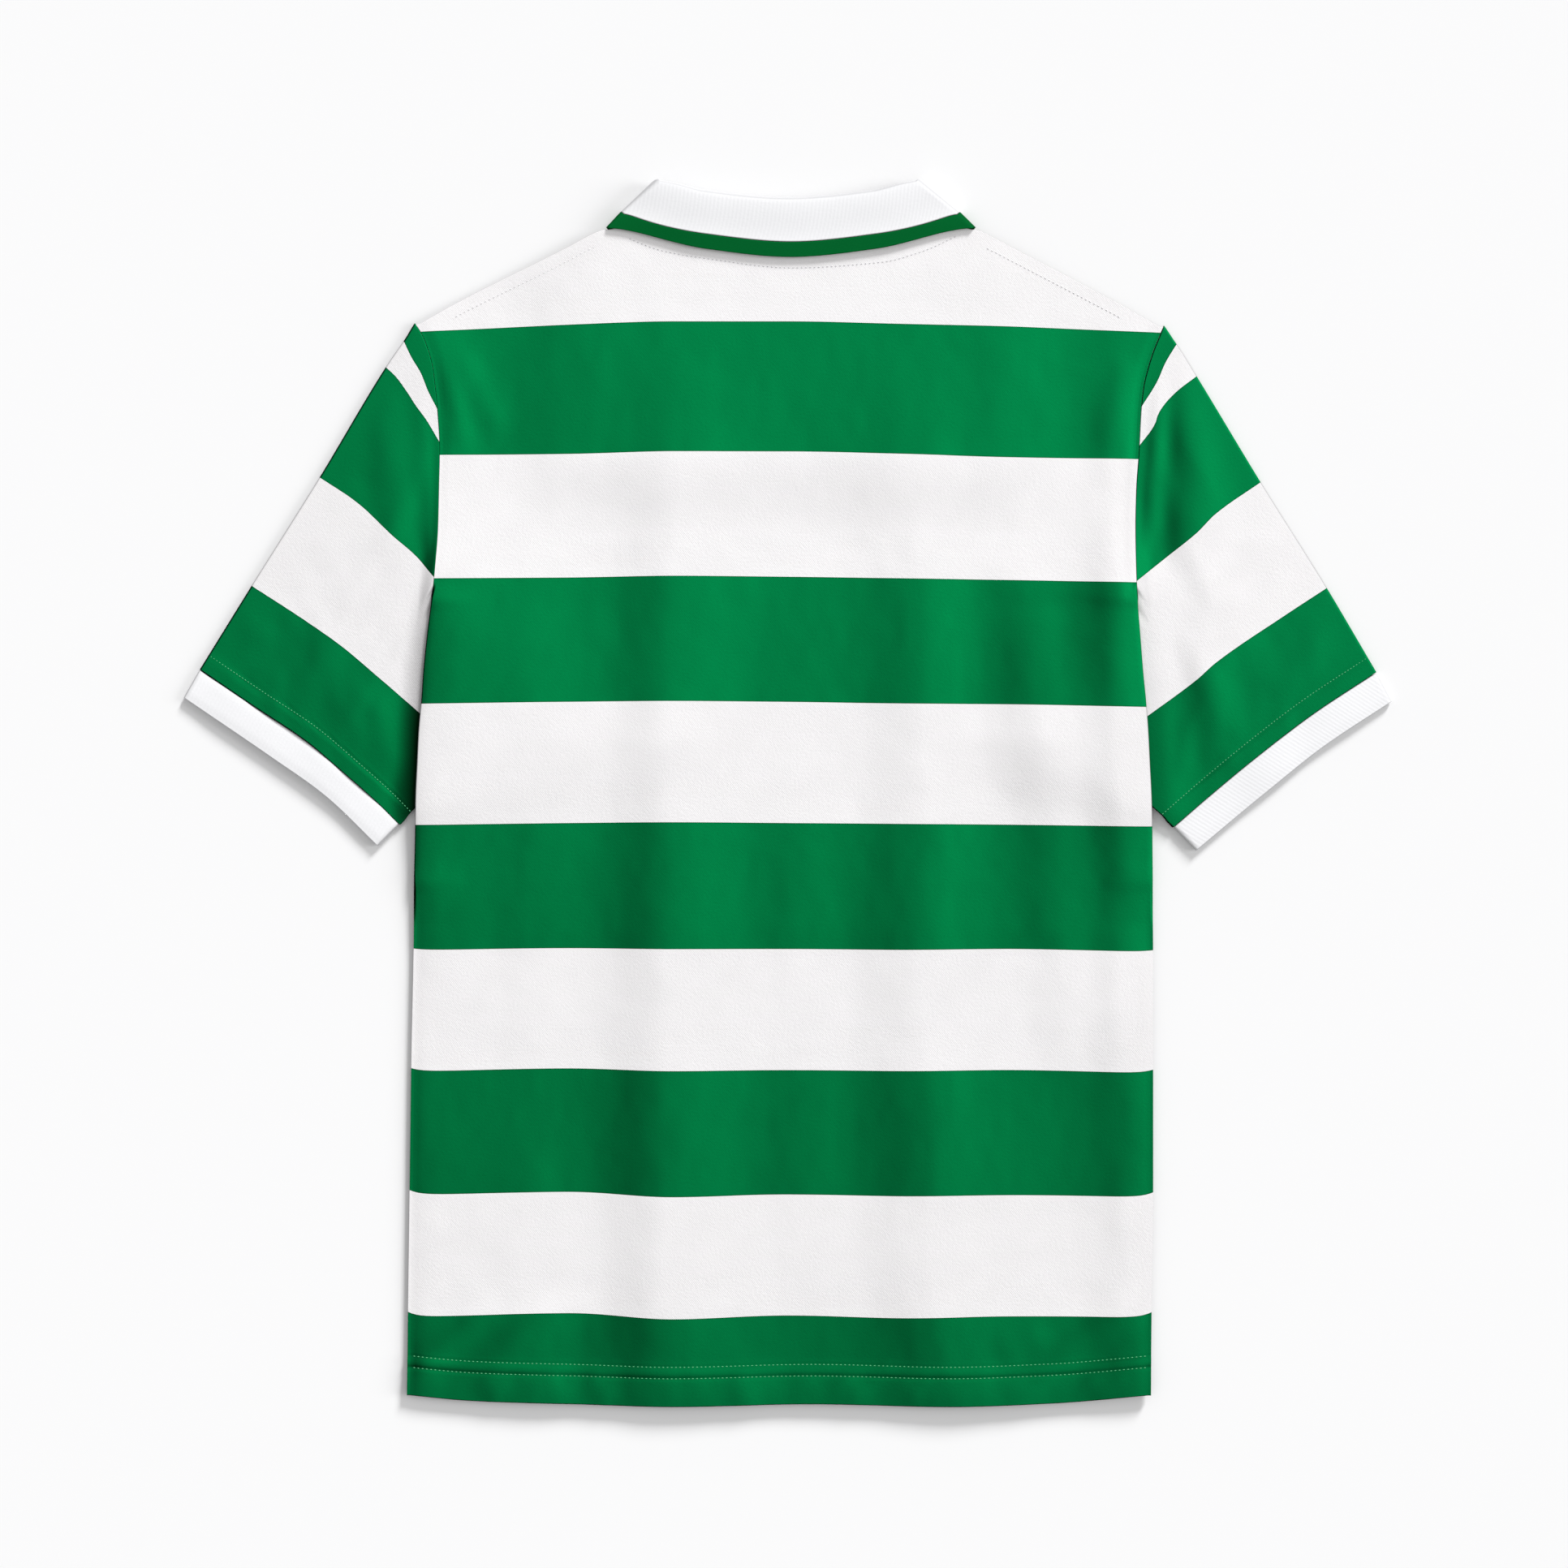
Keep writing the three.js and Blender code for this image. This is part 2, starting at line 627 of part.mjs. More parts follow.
function collarGrids() {
  const stations = collarStations();
  const collar = [];
  const band = [];
  for (const station of stations) {
    const toward = foldDirection(station);
    const stand = linePoint(LINES.stand, station);
    const fall = linePoint(LINES.fall, station);
    const middle = stand.clone().add(fall).multiplyScalar(0.5);
    const radial = fall.clone().sub(middle);
    const round = radial.length();
    const out = new THREE.Vector3(toward[0], toward[1], 0).multiplyScalar(round);
    if (station.part === 'back') {
      for (const point of [stand, fall, middle]) point.addScaledVector(out, -1);
    }
    const seam = seamPoint(station);
    const split = linePoint(LINES.split, station);
    const edge = linePoint(LINES.edge, station);
    const arc = [-45, 0, 45].map((angle) => {
      const a = (angle * Math.PI) / 180;
      return middle.clone().addScaledVector(radial, Math.sin(a)).addScaledVector(out, Math.cos(a));
    });
    const gapShare = (0.7 * GAP) / split.distanceTo(fall);
    const bandShare = (0.7 * GAP) / split.distanceTo(edge);
    collar.push([
      seam,
      seam.clone().lerp(stand, 0.5),
      stand,
      ...arc,
      fall,
      fall.clone().lerp(split, 0.5),
      fall.clone().lerp(split, 1 - gapShare),
    ]);
    band.push([split.clone().lerp(edge, bandShare), split.clone().lerp(edge, 0.5), edge]);
  }
  return { collar, band };
}

const SLEEVE_SHARES = [0, 0.05, 0.12, 0.22, 0.34, 0.46, 0.58, 0.7, 0.82, 0.92, 1];

const garment = new THREE.Group();
garment.name = 'football_jersey';

function add(name, geometry, material) {
  const mesh = new THREE.Mesh(geometry, material);
  mesh.name = name;
  garment.add(mesh);
}

const { collar, band } = collarGrids();
add('front_panel', wall(panelGrid(FRONT_COLUMNS, frontNeck, frontHeight, -1), CLOTH), GREEN);
add('back_panel', wall(panelGrid(BACK_COLUMNS, backNeck, backHeight, 1), CLOTH), GREEN);
add('sleeve_left', wall(sleeveRings(0, SLEEVE_SHARES), CLOTH, true), GREEN);
add('sleeve_right', wall(sleeveRings(1, SLEEVE_SHARES), CLOTH, true), GREEN);
add('cuff_left', wall(cuffRings(0), CUFF, true), WHITE);
add('cuff_right', wall(cuffRings(1), CUFF, true), WHITE);
add('collar', wall(collar, RIB), WHITE);
add('collar_band', wall(band, RIB), TRIM);

export default garment;
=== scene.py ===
"""Football jersey lying flat with its back up, seen from straight above.

Lengths in the tables and functions are millimetres in the frame's axes; meshes are made in metres.
"""

import json
import math

import bpy
import numpy as np
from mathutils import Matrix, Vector

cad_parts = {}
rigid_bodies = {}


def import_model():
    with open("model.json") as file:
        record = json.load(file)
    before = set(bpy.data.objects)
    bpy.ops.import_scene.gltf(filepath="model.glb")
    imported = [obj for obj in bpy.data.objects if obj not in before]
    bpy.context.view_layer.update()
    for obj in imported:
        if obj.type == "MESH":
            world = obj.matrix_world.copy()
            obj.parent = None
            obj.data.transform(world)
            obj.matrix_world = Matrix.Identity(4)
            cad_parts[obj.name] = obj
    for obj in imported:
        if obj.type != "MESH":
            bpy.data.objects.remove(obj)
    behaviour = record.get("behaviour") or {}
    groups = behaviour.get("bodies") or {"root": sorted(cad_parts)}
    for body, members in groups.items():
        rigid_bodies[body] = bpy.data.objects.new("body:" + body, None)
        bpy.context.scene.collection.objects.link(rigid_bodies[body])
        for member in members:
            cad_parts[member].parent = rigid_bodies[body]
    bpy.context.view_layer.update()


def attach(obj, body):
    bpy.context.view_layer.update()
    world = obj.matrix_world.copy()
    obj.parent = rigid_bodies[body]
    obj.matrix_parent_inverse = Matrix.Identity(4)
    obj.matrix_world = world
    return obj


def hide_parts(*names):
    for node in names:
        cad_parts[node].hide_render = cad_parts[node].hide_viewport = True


CLOTH = 0.7  # thickness of the knitted cloth, a little finer than the solid's
BASE = 0.5  # middle of the lowest layer
LAYER = 1.3  # from the front's middle to the back's, as the solid has it
CUFF = 1.2  # a cuff's height allowance for one layer
CUFF_WALL = 1.1
COLLAR_WALL = 1.2
GAP = 0.25
PLY = CLOTH + GAP  # one layer on another where the sleeve is tucked in
TURN_LENGTH = math.pi * 0.5 * PLY  # cloth used by an edge's turn
FLAP_MIN = 0.4
NECK_SHARES = (0.2713, 0.7314)  # shares of the panel's width where the neck starts and ends
POINT_SHARE = 0.4997  # the same for the front's neck point
HEM_STITCHES = (17.3, 24.3)  # rows of stitches above the hem's lower edge
KNIT_PITCH = 0.0012  # metres, as the materials need them
RIB_PITCH = 0.0024
ARMPIT = 32.5
HEM_SIDE = -369.5
SHOULDER_TIP = (289.5, 288.0)

# Side edges of the body as seen from above: y, left x, right x
SIDE_EDGE = [
    (-369.5, -234.25, 223.4),
    (-320.5, -233.75, 223.9),
    (-245.5, -232.75, 224.9),
    (-169.5, -231.75, 224.9),
    (-95, -230.25, 224.9),
    (-60.5, -229.75, 224.4),
    (-19.5, -228.75, 223.9),
    (-0.5, -228.4, 223.4),
    (19.5, -227.5, 222.4),
    (39.5, -226.5, 221.4),
    (59.5, -224.75, 219.9),
    (74.5, -223.75, 218.4),
    (99.5, -221.25, 216.4),
    (119.5, -218.75, 214.9),
    (139.5, -216.75, 214.25),
    (164.5, -215, 213.9),
    (189.5, -214.5, 214.5),
    (212, -214.05, 216.1),
    (238, -215.5, 217.45),
    (252, -216.9, 218.9),
    (265, -218.75, 222.0),
    (275.5, -221.75, 225.4),
    (283, -224.8, 228.5),
    (289.5, -228.75, 231),
]

# Below the armhole the edge is folded under over the tucked sleeve:
# y, height of the back's middle, turn in degrees, width of the part folded under
UNDERARM = [
    (-80, 1.8, 0, 0),
    (-62, 3.0, 45, 0),
    (-52, 3.8, 100, 0),
    (-42, 3.7, 180, 1),
    (-30, 4.1, 180, 2),
    (-16, 4.9, 180, 4.5),
    (-8, 5.25, 180, 9.5),
    (0, 5.25, 180, 18),
    (10, 5.25, 180, 28),
    (22, 5.25, 180, 37.5),
    (28, 5.25, 180, 41),
    (32.5, 5.25, 180, 42),
    (45, 5.25, 180, 35),
    (65, 5.25, 180, 25),
    (85, 5.25, 180, 17.5),
    (100, 5.25, 180, 10),
    (112, 5.25, 180, 3),
    (119, 5.5, 120, 0),
    (125, 4.95, 60, 0),
    (130.5, 4.5, 0, 0),
    (145, 3.6, 0, 0),
    (165, 2.7, 0, 0),
    (190, 2.0, 0, 0),
    (215, 1.8, 0, 0),
]

# Height of the back's middle further in than the tucked cloth: y, height
INNER_STACK = [
    (-80, 1.8), (-40, 3.2), (0, 5.0), (30, 5.25),
    (90, 5.0), (120, 4.4), (160, 2.9), (210, 1.8),
]

# Lower edge of the hem, shoulder edges and neck seam: x, y
HEM = [
    (-234.25, -369.5),
    (-195, -373),
    (-130, -375),
    (-70, -376.5),
    (15, -375),
    (100, -376.5),
    (165, -374.5),
    (223.4, -369.5),
]
SHOULDER_LEFT = [
    (-228.75, 289.5),
    (-201.75, 304.5),
    (-135.25, 337.3),
    (-120, 345.2),
    (-114, 347.3),
    (-109.5, 347.6),
    (-104, 349.8),
]
SHOULDER_RIGHT = [
    (107.5, 350),
    (113, 347.7),
    (117.5, 347.3),
    (124, 344.4),
    (139, 336.7),
    (205, 302.5),
    (231, 288),
]
BACK_NECK = [
    (-104, 349.8),
    (-80, 345),
    (-50, 339.6),
    (2, 335.5),
    (60, 339.4),
    (87, 345.2),
    (107.5, 350),
]
NECK_POINT = (1, 240)

# Long soft folds of the back: x and y at the top, x and y at the lower end, half width on the
# left and on the right of the crest, height
FOLDS = [
    (-66, 310, -80, -420, 20, 31, 3.0),
    (4, 210, 14, -340, 17, 17, 0.8),
    (80, 300, 88, -420, 23, 19, 2.3),
    (112, -150, 118, -430, 20, 22, 0.8),
    (138, 200, 180, -200, 15, 15, 1.2),
    (200, 310, 206, -200, 11, 11, 1.3),
    (205, -60, 219, -430, 15, 15, 1.4),
    (-160, -180, -160, -430, 16, 16, 0.7),
    (-158, 150, -156, -200, 14, 14, 0.4),
]

# Small creases of the back: start x and y, end x and y, half width, rise (a trough is negative)
BACK_CREASES = [
    (-212, 268, -196, 205, 5, 0.5),
    (-204, 274, -178, 222, 6, 0.5),
    (-222, 262, -208, 226, 3.5, -0.4),
    (208, 270, 198, 214, 6, 0.4),
    (-232, -356, -178, -314, 6, 0.7),
    (-202, -358, -122, -308, 8, 0.8),
    (150, -358, 222, -308, 7, 0.7),
    (130, -346, 160, -330, 7, 0.4),
    (-186, -356, -176, -374, 6, 0.3),
    (-152, -355, -138, -376, 7, 0.35),
    (-122, -356, -108, -377, 6, 0.3),
    (-34, -356, -22, -377, 7, 0.3),
    (32, -356, 44, -377, 7, 0.35),
    (70, -356, 80, -376, 6, 0.25),
    (138, -356, 150, -375, 7, 0.3),
    (186, -356, 196, -374, 6, 0.3),
]

# Creases of the sleeves, laid out the same way
SLEEVE_CREASES = [
    [
        (-250, 262, -240, 160, 8, 0.6),
        (-223, 264, -215, 125, 6, 0.9),
        (-275, 78, -252, 2, 9, 0.5),
        (-345, 118, -318, 92, 6, 0.4),
        (-254, 66, -240, 10, 7, 0.6),
        (-300, 150, -262, 190, 12, 0.4),
    ],
    [
        (228, 270, 219, 150, 4.5, 1.1),
        (237, 268, 232, 120, 5, -0.6),
        (251, 268, 256, 140, 11, 1.4),
        (258, 150, 262, 20, 11, 1.1),
        (300, 60, 336, 104, 8, 0.5),
        (246, 52, 240, 8, 5, 0.6),
    ],
]

# Hoop edges of the body: y at each of these x places, a row for each edge from the neck down
HOOP_X = (-212.75, -135.25, -70.25, -0.25, 69.75, 134.75, 212.25)
BODY_HOOPS = [
    (285.5, 289, 291, 291, 289.5, 288, 285),
    (209, 209.5, 211, 211, 209.5, 207.5, 206.5),
    (133, 133.5, 134.5, 134, 133, 132, 130.5),
    (56, 57, 57.5, 57, 56, 55.5, 54),
    (-18.5, -17.5, -17, -17.5, -18, -18.5, -19.5),
    (-95.5, -94.5, -95, -95, -95.5, -95, -96.5),
    (-170, -168.5, -170, -169.5, -170, -169.5, -171),
    (-246, -244.5, -247.5, -246, -247, -246.5, -247.5),
    (-321, -319, -322.5, -320.5, -322, -321, -321.5),
]

# Hoop edges of the sleeves from the cuff up, each a line of x, y points
SLEEVE_HOOPS = [
    [
        [(-329.9, 128.5), (-296, 106.5), (-273.75, 90.8), (-260.25, 79.5), (-242.25, 64),
         (-226.75, 50.5)],
        [(-287.75, 195), (-264.75, 179.5), (-242.25, 158.5), (-229, 147), (-219, 135.5)],
        [(-247.25, 263), (-241.75, 257.9), (-233.9, 247.3), (-229, 239.7), (-222.4, 230.6),
         (-214.8, 217.9)],
        [(-236, 278.5), (-232, 270), (-226, 259.7), (-221.2, 248.2), (-215.7, 237.3)],
    ],
    [
        [(221, 48), (251.7, 70.7), (262.9, 80.75), (305.3, 109.8), (331.6, 127)],
        [(215, 131.6), (233.9, 146.6), (251.7, 161), (262.9, 172.3), (291.4, 192.4)],
        [(216.7, 215), (226, 228), (228.3, 234.75), (238.3, 247), (251.7, 257.5)],
        [(218.2, 239.25), (227.2, 253.7), (232.7, 266), (239.4, 277.2)],
    ],
]

SLEEVES = [
    {
        "sign": -1,
        "outer": [(-229.05, 289.5), (-236.25, 279), (-247.25, 263), (-287.75, 195.5), (-329.75, 128.5),
                  (-361.75, 76.75)],
        "seam": [(-361.75, 76.75), (-329.5, 55), (-296, 32.75), (-273.75, 14), (-251.25, -6), (-239.25, -18)],
        "end": [(-371.5, 59.5), (-318.25, 23.2), (-284.75, -0.7), (-252.5, -31.5)],
    },
    {
        "sign": 1,
        "outer": [(231.3, 288), (239.5, 277), (251.6, 257.6), (291.75, 191), (331.75, 127), (362.2, 75.2)],
        "seam": [(362.2, 75.2), (323.1, 49.5), (285.2, 20.5), (258.4, -1.8), (237.7, -19.7)],
        "end": [(371.8, 57.3), (329.8, 29.5), (291.9, -0.7), (251.7, -34.2)],
    },
]
# Soft folds down a sleeve: share across it at the top and at the cuff, half width, height
SLEEVE_FOLDS = [(0.3, 0.42, 0.06, 0.6), (0.55, 0.62, 0.07, 0.6)]


def curve(rows, col=1):
    """Smooth function through table rows: column 0 is the place, column col the value."""
    xs = np.array([r[0] for r in rows], float)
    ys = np.array([r[col] for r in rows], float)
    width = np.diff(xs)
    step = np.diff(ys) / width
    slope = np.empty_like(ys)
    slope[0], slope[-1] = step[0], step[-1]
    a, b = step[:-1], step[1:]
    total = np.where(np.abs(a + b) < 1e-12, 1, a + b)
    slope[1:-1] = np.where(a * b <= 0, 0, 2 * a * b / total)

    def value(place):
        p = np.clip(place, xs[0], xs[-1])
        i = np.clip(np.searchsorted(xs, p, side="right") - 1, 0, len(width) - 1)
        t = (p - xs[i]) / width[i]
        t2, t3 = t * t, t * t * t
        return (
            ys[i] * (2 * t3 - 3 * t2 + 1)
            + slope[i] * width[i] * (t3 - 2 * t2 + t)
            + ys[i + 1] * (3 * t2 - 2 * t3)
            + slope[i + 1] * width[i] * (t3 - t2)
        )

    return value


def mix(a, b, t):
    return a + (b - a) * t


def ease(start, end, value):
    t = np.clip((value - start) / (end - start), 0, 1)
    return t * t * (3 - 2 * t)


def noise(x, y, size_x, size_y, seed):
    """Smooth random field from -1 to 1 with bumps of these sizes."""
    table = np.random.default_rng(seed).uniform(-1, 1, (256, 256))
    gx, gy = x / size_x + 500, y / size_y + 500
    ix, iy = np.floor(gx).astype(int), np.floor(gy).astype(int)
    fx, fy = gx - ix, gy - iy
    fx, fy = fx * fx * (3 - 2 * fx), fy * fy * (3 - 2 * fy)

    def at(a, b):
        return table[a % 256, b % 256]

    low = mix(at(ix, iy), at(ix + 1, iy), fx)
    high = mix(at(ix, iy + 1), at(ix + 1, iy + 1), fx)
    return mix(low, high, fy)


def creases(x, y, table):
    """Height of soft ridges and troughs, each along a line that fades at both ends."""
    height = np.zeros_like(x)
    for x0, y0, x1, y1, width, rise in table:
        length = math.hypot(x1 - x0, y1 - y0)
        along = ((x - x0) * (x1 - x0) + (y - y0) * (y1 - y0)) / length**2
        across = ((x - x0) * (y1 - y0) - (y - y0) * (x1 - x0)) / length
        fade = ease(-0.12, 0.3, along) * ease(1.12, 0.7, along)
        height += rise * fade * np.exp(-0.5 * (across / width) ** 2)
    return height


edge_x = [curve(SIDE_EDGE, 1), curve(SIDE_EDGE, 2)]
stack_height = curve(UNDERARM, 1)
turn_angle = curve(UNDERARM, 2)
tuck_width = curve(UNDERARM, 3)
inner_stack = curve(INNER_STACK)
hem_y = curve(HEM)
shoulders = [curve(SHOULDER_LEFT), curve(SHOULDER_RIGHT)]
back_neck = curve(BACK_NECK)


def front_neck(x):
    left, right = BACK_NECK[0], BACK_NECK[-1]
    end_x = np.where(x < NECK_POINT[0], left[0], right[0])
    end_y = np.where(x < NECK_POINT[0], left[1], right[1])
    return mix(NECK_POINT[1], end_y, (x - NECK_POINT[0]) / (end_x - NECK_POINT[0]))


def top_y(x, neck):
    y = np.where(x < BACK_NECK[0][0], shoulders[0](x), neck(x))
    return np.where(x > BACK_NECK[-1][0], shoulders[1](x), y)


def side_y(side, y):
    return mix(HEM_SIDE, SHOULDER_TIP[side], (y - HEM_SIDE) / (SHOULDER_TIP[0] - HEM_SIDE))


def neck_lift(x, y):
    return ease(190, 116, np.abs(x - 2)) * ease(160, 208, y)


def fold_height(x, y):
    height = np.zeros_like(x)
    for x_top, top, x_low, low, left, right, rise in FOLDS:
        t = (y - low) / (top - low)
        fade = ease(0, 0.15, t) * ease(1, 0.75, t)
        away = x - mix(x_low, x_top, t)
        away = away / np.where(away < 0, left, right)
        height += rise * fade * np.exp(-0.5 * away * away)
    return height * ease(322, 285, y)


def front_height(x, y):
    """Middle of the front panel: it rises with the back at the neck, the hem and the right side."""
    height = BASE + 1.6 * neck_lift(x, y) + 0.9 * ease(26, 4, y - hem_y(x))
    return height + fold_height(x, y) * ease(14, 0, edge_x[1](y) - x) * ease(-60, -110, y)


ROLL = 0.9  # how much the back rounds down to its side edges


def back_height(x, y):
    """Middle of the back panel: on the front, over the tucked sleeves and over the collar."""
    height = BASE + LAYER + 2.0 * neck_lift(x, y)
    lift = stack_height(y) - BASE - LAYER
    inner = inner_stack(y) - BASE - LAYER
    tuck = tuck_width(y)
    calm = 1.0
    settled = 0.4 * ease(-80, -100, y)
    raised = (ROLL - settled) * ease(230, 60, y)
    height = height + raised
    for side in (0, 1):
        inside = np.abs(x - edge_x[side](y))
        own = mix(lift, inner, ease(tuck + 2, tuck + 40, inside))
        height = height + own * (1 - ease(tuck - 6, tuck + (90 if side else 170), inside))
        calm = calm * np.maximum(ease(-2, 9, inside), side * ease(135, 110, y))
        wide = (0.75 if side else 0.0) * (raised + settled)
        drop = wide * ease(110, 0, inside) + (raised + settled - wide) * np.exp(-inside / 6)
        height = height - ease(128, 112, y) * drop
    return height + calm * fold_height(x, y) + 1.2 * ease(30, 5, y - hem_y(x))


def from_sides(x, y):
    """Distance in from the nearer side edge of the body."""
    return np.minimum(x - edge_x[0](y), edge_x[1](y) - x)


def back_surface(x, y):
    """The back panel with the small creases, the turned hem and the dip at the armhole seams."""
    height = back_height(x, y)
    inside = from_sides(x, y)
    calm = ease(2, 22, inside) * ease(330, 300, y)
    height += calm * (0.22 * noise(x, y, 34, 90, 3) + 0.08 * noise(x, y, 13, 26, 4))
    height += 0.05 * ease(1, 8, inside) * noise(x, y, 6, 9, 5)
    height += creases(x, y, BACK_CREASES) * ease(0, 10, inside)
    rise = y - hem_y(x)
    for row in HEM_STITCHES:
        height -= 0.35 * np.exp(-0.5 * ((rise - row) / 0.8) ** 2)
    height += 0.18 * ease(27, 24, rise)
    height += 0.3 * np.exp(-0.5 * ((rise - 20.8) / 2.0) ** 2)
    seam = ease(128, 140, y) * (inside < 40)
    height += 0.7 * seam * (x < 0) * np.exp(-0.5 * (inside / 14) ** 2)
    height -= 0.5 * seam * np.exp(-0.5 * (inside / 1.8) ** 2)
    return height


def straight(points):
    """Function of x through points, going on straight past both ends."""
    inner = curve(points)
    (x0, y0), (x1, y1) = points[0], points[1]
    (x2, y2), (x3, y3) = points[-2], points[-1]

    def value(x):
        y = inner(x)
        y = np.where(x < x0, y0 + (x - x0) * (y1 - y0) / (x1 - x0), y)
        return np.where(x > x3, y3 + (x - x3) * (y3 - y2) / (x3 - x2), y)

    return value


HOOP_RUN = 20.0  # millimetres from a hoop edge over which the count changes by one


def hoop_count(x, y, lines, first, upward):
    """A count that passes a whole number at each hoop edge; spaces after odd numbers are green."""
    way = 1 if upward else -1
    passed = sum((way * (y - line(x)) > 0).astype(int) for line in lines)
    best = np.full_like(x, 1e9)
    count = np.zeros_like(x)
    for k, line in enumerate(lines):
        slope = line(x + 0.5) - line(x - 0.5)
        away = way * (y - line(x)) / np.sqrt(1 + slope * slope)
        near = (np.abs(away) < best) & ((passed == k) | (passed == k + 1))
        best = np.where(near, np.abs(away), best)
        count = np.where(near, first + k + np.clip(away / HOOP_RUN, -0.499, 0.499), count)
    return count


def body_hoop(x, y):
    lines = [straight(list(zip(HOOP_X, row))) for row in BODY_HOOPS]
    curl = 3.2 * np.exp(-np.maximum(from_sides(x, y), 0) / 6) * ease(20, -300, y)
    return hoop_count(x, y - curl, lines, 1, False)


def sleeve_hoop(side, x, y):
    lines = [straight(points) for points in SLEEVE_HOOPS[side]]
    return hoop_count(x, y, lines, 2, True)


def edge_profile(y, steps=8, flap_steps=6):
    """The edge's section from the panel's flat part outward: out from the outline, and down."""
    angle = math.radians(float(turn_angle(y)))
    flap = FLAP_MIN + float(tuck_width(y))
    flat = angle < 1e-3
    radius = TURN_LENGTH / max(angle, 1e-6)
    if flat:
        reach = TURN_LENGTH + flap
    elif angle < math.pi / 2:
        reach = radius * math.sin(angle) + flap * math.cos(angle)
    else:
        reach = radius
    points = []
    for k in range(steps + 1):
        part = angle * k / steps
        if flat:
            points.append((TURN_LENGTH * k / steps - reach, 0))
        else:
            points.append((radius * math.sin(part) - reach, radius * (1 - math.cos(part))))
    out, down = points[-1]
    bend = 0
    if y < ARMPIT - 2 and math.degrees(angle) > 170:
        bend = max(0, (float(stack_height(y)) - BASE - 3 * PLY) / 2)
    last = flap - 3.5 if flap > 8 else flap * 0.5
    for k in range(1, flap_steps + 1):
        length = flap * k / flap_steps
        extra = bend * max(0, (length - last) / (flap - last))
        points.append((out + length * math.cos(angle), down + length * math.sin(angle) + extra))
    return points


def panel_rows(step, rim=0.0):
    """Row places up the body's side, closer together where the edge turns under."""
    rows = [HEM_SIDE]
    if rim:
        rows.append(HEM_SIDE + rim)
    while rows[-1] < SHOULDER_TIP[0] - 0.6 * step:
        y = rows[-1]
        near_turn = (104 < y < 133) or (-66 < y < -38) or (24 < y < 34)
        near_hem = step < 4 and 10 < y - HEM_SIDE < 27
        rows.append(y + (0.8 if near_hem else 1.4 if near_turn else step))
    if rim:
        rows[-1] = SHOULDER_TIP[0] - rim
        return rows + [SHOULDER_TIP[0]]
    rows[-1] = SHOULDER_TIP[0]
    return rows


def panel_grid(columns, rows, neck, height, down):
    """Grid of middle points, rows from hem to shoulder and columns from left to right."""
    u = np.array(columns)
    grid = []
    for row_y in rows:
        share = (row_y - HEM_SIDE) / (SHOULDER_TIP[0] - HEM_SIDE)
        profile = edge_profile(row_y)
        ends = [edge_x[s](row_y) + (1 if s else -1) * profile[0][0] for s in (0, 1)]
        x = mix(ends[0], ends[1], u)
        top = top_y(mix(SHOULDER_LEFT[0][0], SHOULDER_RIGHT[-1][0], u), neck)
        y = mix(hem_y(mix(HEM[0][0], HEM[-1][0], u)), top, share)
        z = height(x, y)
        flat = np.stack([x, y, z], 1)
        sides = []
        for s in (0, 1):
            first = flat[-1] if s else flat[0]
            sides.append([
                (edge_x[s](row_y) + (1 if s else -1) * out, first[1], first[2] - down * drop)
                for out, drop in profile[1:]
            ])
        grid.append(np.concatenate([np.array(sides[0])[::-1], flat, np.array(sides[1])]))
    return np.array(grid)


def spread(count, extra=()):
    """Even shares from 0 to 1 with some more places put in."""
    return sorted(set(list(np.linspace(0, 1, count)) + list(extra)))


def grid_normals(grid, wrap):
    p = np.concatenate([grid, grid[:, :1]], 1) if wrap else grid
    a, b, c, d = p[:-1, :-1], p[:-1, 1:], p[1:, 1:], p[1:, :-1]
    first, second = np.cross(b - a, c - a), np.cross(c - a, d - a)
    normals = np.zeros_like(p)
    for corner, face in (
        ((slice(None, -1), slice(None, -1)), first + second),
        ((slice(None, -1), slice(1, None)), first),
        ((slice(1, None), slice(1, None)), first + second),
        ((slice(1, None), slice(None, -1)), second),
    ):
        normals[corner] += face
    if wrap:
        normals[:, 0] += normals[:, -1]
        normals = normals[:, :-1]
    return normals / np.maximum(np.linalg.norm(normals, axis=2, keepdims=True), 1e-12)


def wall(name, grid, thickness, material, uv, wrap=False):
    """Closed shell about a grid of middle points; uv holds two numbers for each grid point."""
    rows, cols = grid.shape[:2]
    normals = grid_normals(grid, wrap)
    points = np.concatenate([
        (grid + 0.5 * thickness * normals).reshape(-1, 3),
        (grid - 0.5 * thickness * normals).reshape(-1, 3),
    ])
    last = cols if wrap else cols - 1
    r, c = np.meshgrid(np.arange(rows - 1), np.arange(last), indexing="ij")
    a, b = r * cols + c, r * cols + (c + 1) % cols
    d, e = a + cols, b + cols
    under = rows * cols
    quads = [
        np.stack([a, b, e, d], -1).reshape(-1, 4),
        np.stack([a, d, e, b], -1).reshape(-1, 4) + under,
    ]
    c = np.arange(last)
    low, low_next = c, (c + 1) % cols
    top, top_next = low + (rows - 1) * cols, low_next + (rows - 1) * cols
    quads.append(np.stack([low + under, low_next + under, low_next, low], -1))
    quads.append(np.stack([top, top_next, top_next + under, top + under], -1))
    if not wrap:
        r = np.arange(rows - 1)
        left, left_up = r * cols, (r + 1) * cols
        right, right_up = left + cols - 1, left_up + cols - 1
        quads.append(np.stack([left_up + under, left + under, left, left_up], -1))
        quads.append(np.stack([right_up, right, right + under, right_up + under], -1))
    faces = np.concatenate(quads)
    values = np.concatenate([uv.reshape(-1, 2)] * 2)
    return make_mesh(name, points, faces, material, values, smooth=2 * len(quads[0]))


